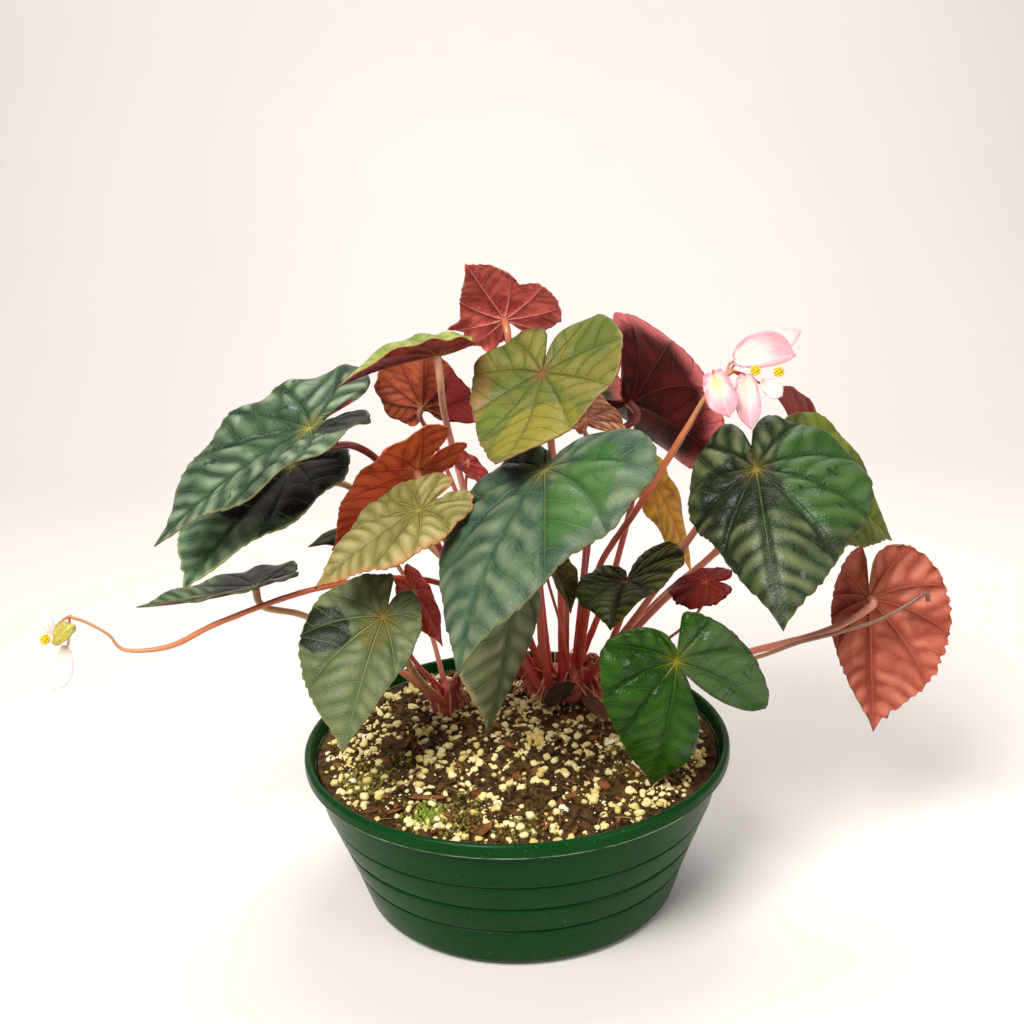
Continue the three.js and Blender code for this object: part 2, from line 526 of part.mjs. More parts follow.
// Right flower stalk, left flower stalk, and a dried stalk beside the far right leaf
const rightStalk = [[32, 46, 84], [42, 32, 146], [61, 12, 186], [82, -2, 227], [88, -5, 239], [96, -5, 248],
  [101, -3, 251]];
const leftStalk = [[16, 42, 82], [2, 32, 124], [-35, 15, 150], [-54, 10, 155], [-92, 1, 154], [-137, -5, 141],
  [-162, -5, 130], [-183, -5, 130], [-188, -5, 137], [-198, -5, 144], [-205, -5, 147]];
const driedStalk = [[44, 44, 80], [78, 20, 98], [114, 0, 112], [133, -9, 123], [150, -15, 130],
  [168, -18, 137], [182, -18, 145], [188, -18, 149], [189, -18, 145]];

function crown(name, shape, stalks, color) {
  const base = upright(shape.radius, shape.floor + clearance, crownTop, 16);
  base.translate(shape.x, shape.y, 0);
  return named(name, geometryOf(joined([base, ...shape.knobs, ...stalks])), material(color, 0.55));
}

// Papery pointed scales that stand around the foot of the stalks
function stipules() {
  const random = randomStream(19);
  const scales = [];
  for (let i = 0; i < stipuleCount; i++) {
    const turn = (2 * Math.PI * (i + 0.4 * random())) / stipuleCount;
    const scale = new THREE.ConeGeometry(3.2, 15 + 6 * random(), 5);
    scale.scale(1, 1, 0.5);
    scale.rotateX(Math.PI / 2);
    scale.rotateY(0.35 * Math.cos(turn));
    scale.rotateX(-0.35 * Math.sin(turn));
    scale.translate(mainCrown.x + 13 * Math.cos(turn), mainCrown.y + 12 * Math.sin(turn), 92);
    scales.push(scale);
  }
  return scales;
}

function rootsAt(shape) {
  return (leaf) => Math.hypot(leaf.root[0] - shape.x, leaf.root[1] - shape.y) < shape.radius + 3;
}

function crowns() {
  const main = {
    ...mainCrown,
    knobs: [
      ball([26, 46, 83], [20, 18, 7], 10, 6),
      ball([37, 44, 83], [9, 10, 7]),
      ball([14, 46, 83], [9, 10, 7]),
    ],
  };
  const left = { ...leftCrown, knobs: [ball([-35, 30, 82], [8, 8, 6])] };
  const stalks = [stem(rightStalk.map(vec), 1.7, 13), stem(leftStalk.map(vec), 1.5, 13),
    stem(driedStalk.map(vec), 1.1, 13),
    ...petals.map(petiole), ...stipules()];
  return [
    crown('crown_main', main, [...leaves.filter(rootsAt(main)).map(petiole), ...stalks], 0x8a3530),
    crown('crown_left', left, leaves.filter(rootsAt(left)).map(petiole), 0x8a4a3a),
  ];
}

// ---- Blooms ----

// A round bunch of stamens at the heart of a flower
function stamens(name, centre, size) {
  return named(name, ball(centre, [size, size, size]), material(0xe0b81e, 0.6));
}

// The left flower's seed case with its three wings
function ovary() {
  const wings = [0, 1, 2].map((i) => {
    const outline = new THREE.Shape();
    outline.moveTo(-7, 0);
    outline.lineTo(7, 0);
    outline.lineTo(i === 0 ? 3 : 2, i === 0 ? 6 : 5);
    outline.lineTo(-5, 4);
    const wing = new THREE.ExtrudeGeometry(outline, { depth: 0.9, bevelEnabled: false });
    wing.translate(0, 0, -0.45);
    wing.rotateX(Math.PI / 2 + (2 * Math.PI * i) / 3);
    return wing;
  });
  const body = joined([ball([0, 0, 0], [7.6, 3, 3]), ...wings]);
  const mesh = named('bloom_left_ovary', geometryOf(body), material(0xb6b457, 0.5));
  mesh.position.set(-207, -10.2, 140);
  mesh.rotation.y = -42 * degree;
  return mesh;
}

const plant = new THREE.Group();
plant.add(pot(), soil(), ...crowns(), ...leaves.map(leafMesh), ...petals.map(leafMesh), ovary());
plant.add(stamens('bloom_right_stamens_near', [110, -8.7, 252], 2.6));
plant.add(stamens('bloom_right_stamens_far', [120.6, -7, 250.7], 2.6));
plant.add(stamens('bloom_left_stamens', [-216, -10, 138], 2.7));

export default plant;
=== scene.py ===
# A begonia in a dark green ribbed pot: heart-shaped leaves on red stalks, and a few pink and white blooms
import json
import random
from math import cos, degrees, exp, hypot, pi, radians, sin, sqrt

import bmesh
import bpy
import numpy as np
from mathutils import Euler, Matrix, Vector, noise


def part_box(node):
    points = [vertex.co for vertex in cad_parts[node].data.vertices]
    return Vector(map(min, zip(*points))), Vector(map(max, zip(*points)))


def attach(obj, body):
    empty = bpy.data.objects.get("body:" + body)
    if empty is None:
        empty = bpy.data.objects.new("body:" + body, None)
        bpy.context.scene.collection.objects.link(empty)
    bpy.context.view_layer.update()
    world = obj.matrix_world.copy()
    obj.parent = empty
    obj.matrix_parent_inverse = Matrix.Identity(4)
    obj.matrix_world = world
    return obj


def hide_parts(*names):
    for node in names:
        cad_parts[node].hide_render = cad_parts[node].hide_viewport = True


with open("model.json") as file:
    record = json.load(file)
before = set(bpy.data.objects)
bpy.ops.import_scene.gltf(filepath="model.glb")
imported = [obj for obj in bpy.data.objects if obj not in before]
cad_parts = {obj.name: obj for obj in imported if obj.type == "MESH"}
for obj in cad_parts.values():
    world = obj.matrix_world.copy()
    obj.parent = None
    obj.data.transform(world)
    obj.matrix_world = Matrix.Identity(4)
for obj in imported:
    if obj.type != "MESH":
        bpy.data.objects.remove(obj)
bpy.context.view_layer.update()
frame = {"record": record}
slotOf = {part["node"]: part["material_slot"] for part in frame["record"]["subparts"]}
mm = 0.001  # every size below is in millimetres until it is made
print("frame loaded")


def tint(red, green, blue):
    # a colour as a screen shows it, 0 to 255, turned to the linear one that shaders take
    def linear(part):
        part = part / 255
        return part / 12.92 if part <= 0.04045 else ((part + 0.055) / 1.055) ** 2.4
    return (linear(red), linear(green), linear(blue), 1)


def mathOn(operation, swapped=False):
    # a method that adds a Math node; swapped is for a number that stands before the wire
    def method(self, other):
        first, second = (other, self) if swapped else (self, other)
        return self.paint.node("Math", {"operation": operation}, {0: first, 1: second})
    return method


class Wire:
    # one output of a shader node, so that sums on it add Math nodes
    def __init__(self, paint, socket):
        self.paint = paint
        self.socket = socket

    __add__, __radd__ = mathOn("ADD"), mathOn("ADD", True)
    __sub__, __rsub__ = mathOn("SUBTRACT"), mathOn("SUBTRACT", True)
    __mul__, __rmul__ = mathOn("MULTIPLY"), mathOn("MULTIPLY", True)
    __truediv__, __pow__ = mathOn("DIVIDE"), mathOn("POWER")
    over, bounce = mathOn("MAXIMUM"), mathOn("PINGPONG")

    def output(self, name):
        return Wire(self.paint, self.socket.node.outputs[name])


class Paint:
    # the node tree of one material
    def __init__(self, name):
        self.material = bpy.data.materials.new(name)
        self.material.use_nodes = True
        self.tree = self.material.node_tree
        self.skin = self.tree.nodes["Principled BSDF"]

    def node(self, kind, settings=None, inputs=None, output=0):
        made = self.tree.nodes.new("ShaderNode" + kind)
        for key, value in (settings or {}).items():
            setattr(made, key, value)
        for key, value in (inputs or {}).items():
            self.feed(made.inputs[key], value)
        return Wire(self, made.outputs[output])

    def feed(self, socket, value):
        if isinstance(value, Wire):
            self.tree.links.new(value.socket, socket)
        else:
            socket.default_value = value

    def surface(self, **sockets):
        for key, value in sockets.items():
            names = {"color": "Base Color", "coat": "Coat Weight", "coatRoughness": "Coat Roughness",
                     "through": "Subsurface Weight", "specular": "Specular IOR Level"}
            name = names.get(key, key.capitalize())
            self.feed(self.skin.inputs[name], value)
        return self.material

    def attribute(self, name):
        return self.node("Attribute", {"attribute_name": name}, output="Vector")

    def amount(self, name):
        return self.node("Attribute", {"attribute_name": name}, output="Fac")

    def place(self):
        return self.node("TexCoord", output="Object")

    def split(self, vector):
        x = self.node("SeparateXYZ", None, {0: vector})
        return x, x.output("Y"), x.output("Z")

    def stretch(self, vector, scale):
        return self.node("VectorMath", {"operation": "MULTIPLY"}, {0: vector, 1: scale})

    def noise(self, where, scale, detail=3.0, rough=0.55, warp=0.0):
        return self.node("TexNoise", None, {"Vector": where, "Scale": scale, "Detail": detail,
                                            "Roughness": rough, "Distortion": warp})

    def cells(self, where, scale):
        return self.node("TexVoronoi", {"feature": "DISTANCE_TO_EDGE"}, {"Vector": where, "Scale": scale})

    def band(self, value, low, high):
        return self.node("MapRange", {"interpolation_type": "SMOOTHSTEP"},
                         {"Value": value, "From Min": low, "From Max": high})

    def mix(self, share, first, second):
        return self.node("Mix", {"data_type": "RGBA"}, {0: share, 6: first, 7: second}, output=2)

    def layers(self, colour, *layers):
        # each layer is its share and the colour that it lays over the ones before
        for share, over in layers:
            colour = self.mix(share, colour, over)
        return colour

    def bump(self, height, strength, depth):
        inputs = {"Height": height, "Strength": strength, "Distance": depth * mm}
        return self.node("Bump", None, inputs, output="Normal")


def polar(radius, turn):
    return radius * cos(turn), radius * sin(turn)


def makePiece(name, vertices, faces, material, slot, *replaced):
    mesh = bpy.data.meshes.new(name)
    mesh.from_pydata((np.asarray(vertices) * mm).tolist(), [], faces)
    mesh.shade_smooth()
    mesh.materials.append(material)
    piece = bpy.data.objects.new(name, mesh)
    bpy.context.collection.objects.link(piece)
    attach(piece, "root")
    if replaced:
        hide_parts(*replaced)
    return piece


def store(piece, name, values):
    values = np.asarray(values, dtype=np.float32)
    kind, key = ("FLOAT_VECTOR", "vector") if values.ndim == 2 else ("FLOAT", "value")
    piece.data.attributes.new(name, kind, "POINT").data.foreach_set(key, values.ravel())


# One row for each leaf: its name and the kind of its stalk; its hub, where the stalk meets the blade; its
# heading, pitch and roll in degrees; its length; then in pairs, for its right and left half seen from above
# with the tip away, the half width, where it is widest, the depth and place of the lobe, the belly and the
# fold; its bend and cup in degrees; the height of its waves; and last the way of its stalk from the foot.
leafParts = ("name", "stalk", "hub", "turn", "length", "wide", "widest", "lobe", "lobeAt", "belly", "fold",
             "bend", "cup", "wave")
leafRows = (
    ("leaf_top_red", "red", (1, 34, 272), (-145, 45, 35), 41, (19, 28), (4, 5), (16, 17), (9, 15),
     (0.4, 0.6), (-5, -5), 0, -20, 1.5, (18, 50, 84), (10, 46, 190)),
    ("leaf_top_lime", "brown", (17, -5, 253), (-165, -45, 10), 72, (37, 44), (-6, 3), (27, 26), (6, 18),
     (0.4, 0.4), (-15, 5), 50, 40, 1.5, (26, 50, 86), (27, 40, 150), (20, 10, 226)),
    ("leaf_maroon_back", "deepRed", (58, 34, 231), (40, -20, -50), 76, (46, 66), (6, 10), (23, 20), (32, 30),
     (0.4, 0.6), (5, 15), -60, 150, 1, (34, 52, 84), (38, 48, 150), (50, 38, 210)),
    ("leaf_level_left", "pink", (-29, -5, 263), (-100, -5, 5), 46, (19, 19), (6, 6), (18, 17), (9, 8),
     (0.55, 0.5), (25, 25), -20, 5, 0.8, (12, 44, 84), (-11, 42, 142), (-24, 30, 205), (-28, 10, 236)),
    ("leaf_far_left_upper", "deepRed", (-88, 2, 230), (-120, -20, -5), 86, (41, 45), (8, 12), (42, 21),
     (20, 21), (0.5, 0.65), (5, 5), -15, 30, 2, (8, 46, 82), (-30, 44, 148), (-52, 30, 196), (-70, 6, 221)),
    ("leaf_far_left_lower", "tan", (-101, 25, 207), (-140, -25, 5), 81, (44, 41), (13, 10), (16, 16),
     (20, 19), (0.6, 0.55), (15, 10), -10, -35, 1.5, (10, 52, 82), (-30, 64, 140), (-80, 56, 188)),
    ("leaf_low_left", "tan", (-120, 5, 155), (-105, -10, 10), 55, (28, 28), (9, 7), (22, 21), (13, 13),
     (0.6, 0.5), (10, 10), 15, -5, 1, (-38, 32, 80), (-66, 26, 108), (-100, 14, 136)),
    ("leaf_round_rust", "red", (-39, 38, 231), (170, 65, -30), 36, (26, 29), (5, 3), (15, 5), (10, 14),
     (0.5, 0.55), (10, 5), 5, -20, 1, (16, 54, 84), (-10, 56, 140), (-34, 48, 208)),
    ("leaf_rust_left", "red", (-41, 0, 210), (-70, -40, 35), 62, (19, 26), (7, 4), (24, 30), (9, 11),
     (0.5, 0.5), (10, 0), -5, -10, 1, (10, 40, 84), (-6, 36, 121), (-34, 14, 190)),
    ("leaf_young_left", "red", (-20, 21, 206), (85, -40, -160), 19, (10, 10), (3, 2), (7, 7), (4, 4),
     (0.55, 0.5), (0, -5), 0, -25, 0.5, (18, 42, 86), (-8, 34, 140), (-20, 22, 192)),
    ("leaf_pale_left", "pink", (-38, -35, 201), (-110, -25, -10), 56, (27, 29), (6, 9), (21, 22), (9, 12),
     (0.4, 0.45), (5, 5), -10, -15, 1, (14, 36, 82), (3, 30, 105), (-30, -12, 182)),
    ("leaf_grey_front_left", "tan", (-56, -40, 155), (-155, -40, -10), 62, (34, 19), (9, 7), (21, 15),
     (4, 6), (0.6, 0.35), (5, 5), -25, -15, 1.2, (-34, 26, 80), (-46, 6, 104), (-54, -18, 136)),
    ("leaf_young_low", "red", (-45, -5, 153), (90, -60, 20), 31, (15, 15), (4, 4), (12, 12), (7, 7),
     (0.5, 0.5), (5, 0), -15, -15, 0.6, (-32, 30, 82), (-50, 16, 112), (-56, 4, 142)),
    ("leaf_big_centre", "red", (16, -50, 221), (-140, -30, 10), 96, (48, 53), (12, 3), (18, 27), (25, 27),
     (0.5, 0.35), (0, 5), -35, -45, 1.5, (24, 36, 84), (24, 30, 120), (24, 16, 180)),
    ("leaf_grey_hanging", "red", (1, -25, 174), (-160, -75, -65), 82, (34, 21), (13, 11), (16, 16), (12, 8),
     (0.6, 0.55), (0, 0), -15, -25, 1, (18, 34, 82), (14, 20, 112), (10, -6, 156)),
    ("leaf_dark_small", "red", (52, -15, 158), (-165, -5, 10), 43, (22, 30), (5, 4), (17, 29), (9, 12),
     (0.5, 0.45), (10, 20), -5, -10, 1, (34, 40, 82), (45, 24, 106), (52, -4, 140)),
    ("leaf_dark_young", "red", (19, 0, 162), (145, -40, -25), 25, (12, 13), (3, 3), (9, 9), (5, 6),
     (0.5, 0.45), (15, 15), -20, 5, 0.5, (28, 40, 84), (24, 22, 120)),
    ("leaf_lobed_front", "pink", (69, -60, 138), (-155, -75, -35), 65, (34, 42), (0, 12), (14, 22), (15, 3),
     (0.45, 0.45), (0, -5), -40, 0, 1, (40, 42, 80), (54, 18, 96), (66, -30, 124)),
    ("leaf_big_right", "brown", (109, -20, 210), (180, -35, 10), 77, (36, 51), (10, 10), (31, 30), (12, 11),
     (0.1, 0.35), (-20, -5), -30, -30, 2, (38, 46, 84), (64, 36, 124), (98, 4, 190)),
    ("leaf_behind_right", "brown", (136, 15, 200), (80, -30, 40), 70, (35, 36), (8, 8), (20, 16), (12, 10),
     (0.5, 0.45), (5, 10), -25, -10, 1, (42, 50, 82), (64, 46, 112), (121, 30, 176)),
    ("leaf_young_behind_right", "brown", (154, 62, 199), (-20, 35, 70), 44, (22, 25), (5, 8), (11, 11),
     (10, 11), (0.5, 0.55), (15, 5), -15, -10, 0.8, (40, 54, 82), (76, 64, 118), (142, 72, 172)),
    ("leaf_pink_far_right", "brown", (166, -5, 142), (135, -85, -130), 69, (37, 18), (9, 10), (26, 26),
     (13, 3), (0.7, 0.45), (0, 5), 5, -15, 1, (42, 40, 80), (72, 26, 94), (115, 6, 113), (149, -6, 128)),
    ("leaf_young_toothed", "red", (91, 0, 151), (-65, -10, -30), 23, (14, 17), (3, 3), (12, 14), (6, 7),
     (0.5, 0.55), (-10, 10), -20, -25, 0.8, (42, 46, 82), (70, 30, 106), (88, 6, 134)),
    ("leaf_amber_back", "red", (69, 45, 192), (95, -60, 25), 58, (21, 19), (6, 7), (22, 22), (9, 9),
     (0.45, 0.5), (5, 0), -20, -20, 1, (32, 56, 84), (50, 56, 130), (62, 56, 176)),
    ("leaf_orange_back", "red", (36, 2, 230), (-20, 25, 0), 34, (20, 9), (4, 4), (12, 8), (10, 5),
     (0.55, 0.5), (5, 0), 10, -50, 1, (30, 46, 86), (36, 36, 150), (40, 20, 210)),
    ("leaf_dark_tip_left", "tan", (-72, 44, 173), (-100, -20, -5), 30, (15, 16), (4, 4), (11, 11), (7, 7),
     (0.5, 0.5), (-5, 0), 0, -25, 0.6, (-34, 36, 80), (-46, 56, 120), (-64, 56, 156)),
)
petalRows = (
    ("bloom_right_tepal_top", "brown", (103, -4, 256), (94, 3, 75), 26, (4, 12), (10, 12), (2, 2), (1.5, 2),
     (0.8, 0.85), (4, 4), -10, 40, 0.6, (98, -4, 248), (100, -1, 254)),
    ("bloom_right_tepal_back", "brown", (112, 3, 259), (85, 20, 70), 22, (5, 5), (12, 12), (2, 2),
     (1.5, 1.5), (0.8, 0.8), (0, 0), 10, 20, 0.4, (98, -4, 248), (104, 3, 254)),
    ("bloom_right_tepal_low", "orange", (114, -6, 246), (92, -36, 66), 11, (4, 4), (6, 6), (1, 1), (1, 1),
     (0.8, 0.8), (0, 0), 0, 30, 0.2, (101, -3, 251), (108, 0, 248)),
    ("bloom_right_tepal_left", "orange", (92, -11, 249), (130, -68, 40), 18, (7, 7), (9, 9), (4, 4), (3, 3),
     (0.7, 0.7), (8, 8), 20, -40, 0.5, (94, -5, 247), (92, -6, 252)),
    ("bloom_right_tepal_mid", "orange", (106, -6, 248), (165, -80, 0), 23, (7, 6), (10, 10), (2, 2), (2, 2),
     (0.75, 0.75), (10, 10), 20, 30, 0.4, (101, -3, 251), (104, -1, 249)),
    ("bloom_left_tepal_up", "tan", (-213, -6, 140), (-90, 60, -80), 9, (3, 3), (5, 5), (1, 1), (1, 1),
     (0.8, 0.8), (0, 0), 0, 20, 0.2, (-205, -5, 147), (-210, -3, 144)),
    ("bloom_left_tepal_low", "tan", (-209, -6, 132), (-90, -72, -80), 22, (2, 7), (10, 11), (1, 1), (1, 1),
     (0.8, 0.8), (8, 8), 15, 20, 0.4, (-205, -5, 147), (-207, -3, 139)),
    ("dead_leaf", "dried", (20, 16, 84), (70, 12, -55), 17, (10, 9), (4, 4), (6, 6), (4, 4), (0.8, 0.8),
     (20, 20), 60, 110, 0.6, (22, 30, 83), (20, 22, 81)),
    ("dead_strap", "dried", (35, 20, 85), (150, -8, 10), 20, (4, 4), (7, 7), (1, 1), (1, 1), (0.8, 0.8),
     (0, 0), -20, 30, 0.4, (36, 30, 82), (36, 25, 81)),
)
# bumps and notches of an edge: place and spread in degrees, height as a share of the reach
leafBumps = {
    "leaf_top_red": ((62, 8, 0.35), (95, 14, 0.15), (150, 12, -0.15), (-45, 12, -0.25)),
    "leaf_lobed_front": ((-40, 14, -0.85), (-65, 12, 0.15)),
}


def readRows(rows):
    count = len(leafParts)
    return [dict(zip(leafParts, row), path=row[count:], bumps=leafBumps.get(row[0], ())) for row in rows]


leaves, petals = readRows(leafRows), readRows(petalRows)

# how a blade is made: lengths in mm, angles in degrees, and the rest as shares
bladeMake = dict(thickness=0.55, notch=0.04, lastAngle=177.3, veins=(0, 30, 62, 98, 140), veinCurve=0.3,
                 veinSwirl=0.05, veinRelief=0.9, ribGap=0.12, ribAngle=60, ribWander=0.07, toothDepth=0.014,
                 toothFrom=0.97, arcSteps=24)


def bezier(a, b, c, d, t):
    a, b, c, d = (np.array(point) for point in (a, b, c, d))
    t = t[:, None]
    s = 1 - t
    return s ** 3 * a + 3 * s * s * t * b + 3 * s * t * t * c + t ** 3 * d


def halfOutline(leaf, half):
    tip = leaf["length"]
    wide, at = leaf["wide"][half], leaf["widest"][half]
    back, side = -leaf["lobe"][half], leaf["lobeAt"][half]
    rest = tip - at
    arcs = [
        ((0, tip), (0.16 * wide, tip - 0.2 * rest), (wide, at + leaf["belly"][half] * rest), (wide, at)),
        ((wide, at), (wide, at - 0.55 * (at - back)), (side + 0.32 * wide, back), (side, back)),
        ((side, back), (max(0.5, side - 0.3 * wide), back), (0.04 * wide, 0.55 * back),
         (0, -bladeMake["notch"] * tip)),
    ]
    steps = np.arange(bladeMake["arcSteps"]) / bladeMake["arcSteps"]
    points = np.concatenate([bezier(*arc, steps) for arc in arcs])
    return np.arctan2(points[:, 0], points[:, 1]), np.hypot(points[:, 0], points[:, 1])


def reachAt(leaf, outlines, angle):
    # how far the edge lies from the hub at a signed angle from the midrib
    turns, reaches = outlines[0 if angle >= 0 else 1]
    turn = abs(angle)
    a, b = turns[:-1], turns[1:]
    crossed = ((a - turn) * (b - turn) <= 0) & (a != b)
    if crossed.any():
        share = (turn - a[crossed]) / (b[crossed] - a[crossed])
        reach = (reaches[:-1][crossed] + share * (reaches[1:][crossed] - reaches[:-1][crossed])).max()
    else:
        reach = reaches[-1]
    for where, spread, share in leaf["bumps"]:
        off = (degrees(angle) - where + 540) % 360 - 180
        reach *= 1 + share * exp(-((off / spread) ** 2))
    return reach


def bent(leaf, u, v):
    # the flat blade bent to its shape
    length = leaf["length"]
    across = radians(leaf["cup"]) / length or 1e-6
    bend = radians(leaf["bend"]) / length or 1e-6
    along = np.where(v > 0, bend, 1e-6)
    fold = np.radians(np.where(u > 0, leaf["fold"][0], leaf["fold"][1]))
    reach = np.abs(u)
    x0 = np.sin(across * reach) / across
    h0 = (1 - np.cos(across * reach)) / across
    x = x0 * np.cos(fold) - h0 * np.sin(fold)
    h = x0 * np.sin(fold) + h0 * np.cos(fold)
    return np.stack([np.sign(u) * x, np.sin(along * v) / along - h * np.sin(along * v),
                     (1 - np.cos(along * v)) / along + h * np.cos(along * v)], axis=-1)


def leafTurn(leaf):
    heading, pitch, roll = (radians(angle) for angle in leaf["turn"])
    return np.array(Matrix.Rotation(-heading, 3, "Z") @ Matrix.Rotation(pitch, 3, "X")
                    @ Matrix.Rotation(roll, 3, "Y"))


def columnsOf(perSector):
    # signed angles from the midrib, and the number of the vein that each lies at or between
    edges = bladeMake["veins"] + (bladeMake["lastAngle"],)
    number = np.linspace(0, len(edges) - 1, (len(edges) - 1) * perSector + 1)
    angle = np.radians(np.interp(number, range(len(edges)), edges))
    angle = np.concatenate([-angle[::-1], angle[1:], [pi]])
    return angle, np.concatenate([number[::-1], number[1:], [number[-1]]])


def bladeShape(leaf, perSector, rings, quilt, ribs, tooth):
    # vertices of both faces with what the paint needs at each: place in the blade, and in the net of veins
    angle, number = columnsOf(perSector)
    outlines = [halfOutline(leaf, 0), halfOutline(leaf, 1)]
    reach = np.array([reachAt(leaf, outlines, a) for a in angle[:-1]] + [bladeMake["notch"] * leaf["length"]])
    share = np.linspace(0, 1, rings + 1)[1:, None]
    cut = 0.5 + 0.5 * np.sin(17.3 * angle + leaf["length"]) * np.sin(41 * angle) + (np.sin(97 * angle) > 0.4)
    reach = reach[None, :] * (1 - tooth * cut * (share > bladeMake["toothFrom"]))
    radius = reach * share
    turned = angle + bladeMake["veinCurve"] * np.sin(angle) * (1 - share)
    turned = turned + bladeMake["veinSwirl"] * np.sin(3 * angle + leaf["length"]) * share * (1 - share)
    u, v = radius * np.sin(turned), radius * np.cos(turned)
    middle = bent(leaf, u, v)
    middle[..., 2] += leaf["wave"] * share ** 3 * np.sin(9 * angle + leaf["length"])

    between = number % 1
    rise = np.sin(pi * between) ** 0.85
    sectors = np.radians(np.diff(bladeMake["veins"] + (bladeMake["lastAngle"],)))
    sector = sectors[np.minimum(number.astype(int), len(sectors) - 1)]
    width = radius * sector
    leave = radians(bladeMake["ribAngle"])
    wander = np.sin(0.31 * u + 0.23 * v + leaf["length"]) + np.sin(0.17 * u - 0.29 * v + 2)
    along = radius * np.sin(leave - between * sector) / sin(leave)
    phase = along / max(3, bladeMake["ribGap"] * leaf["length"]) + wander * bladeMake["ribWander"]
    vein = width * np.minimum(between, 1 - between)
    puff = quilt * rise ** 0.7 * np.minimum(1, width / 16)
    ridge = ribs * np.abs(np.sin(pi * phase)) ** 0.8 * np.minimum(1, width / 9) * rise ** 0.3
    height = (puff + ridge) * (1 - share ** 8)

    normal = np.cross(np.roll(middle, -1, 1) - np.roll(middle, 1, 1), np.gradient(middle, axis=0))
    normal /= np.linalg.norm(normal, axis=-1, keepdims=True) + 1e-12
    relief = bladeMake["veinRelief"]
    rib = relief * np.exp(-((vein / relief) ** 2)) * (1 - share) ** 0.7 * min(1, leaf["length"] / 50)
    half = bladeMake["thickness"] / 2
    upper = middle + normal * (height + half)[..., None]
    lower = middle + normal * (height - half - rib)[..., None]
    hubNormal = normal[0].mean(0)
    local = np.concatenate([[hubNormal * half], upper.reshape(-1, 3),
                            [-hubNormal * (half + relief)], lower.reshape(-1, 3)])
    vertices = local @ leafTurn(leaf).T + np.array(leaf["hub"])

    def both(values):
        # the values of both faces, each after that of its hub
        flat = np.broadcast_to(values, radius.shape).ravel()
        return np.concatenate([[0], flat, [0], flat])

    under = np.repeat([0.0, 1.0], 1 + radius.size)
    flat = np.stack([both(u / leaf["length"]), both(v / leaf["length"]), under], axis=1)
    net = np.stack([both(vein), both(phase), both(share)], axis=1)
    return vertices, bladeFaces(rings, len(angle)), flat, net


def ringFaces(rings, sides):
    # the quads between rings of vertices that follow each other
    faces = []
    for i in range(rings - 1):
        for k in range(sides):
            a, b = i * sides + k, i * sides + (k + 1) % sides
            faces.append((a, b, b + sides, a + sides))
    return faces


def bladeFaces(rings, count):
    # the upper face, the lower one turned over, and the edge between them
    size = 1 + rings * count
    upper = [(0, 1 + (i + 1) % count, 1 + i) for i in range(count)]
    upper += [tuple(1 + corner for corner in quad) for quad in ringFaces(rings, count)]
    faces = upper + [tuple(size + corner for corner in side[::-1]) for side in upper]
    edge = range(size - count, size)
    faces += [(a, b, size + b, size + a) for a, b in zip(edge, [*edge[1:], edge[0]])]
    return faces


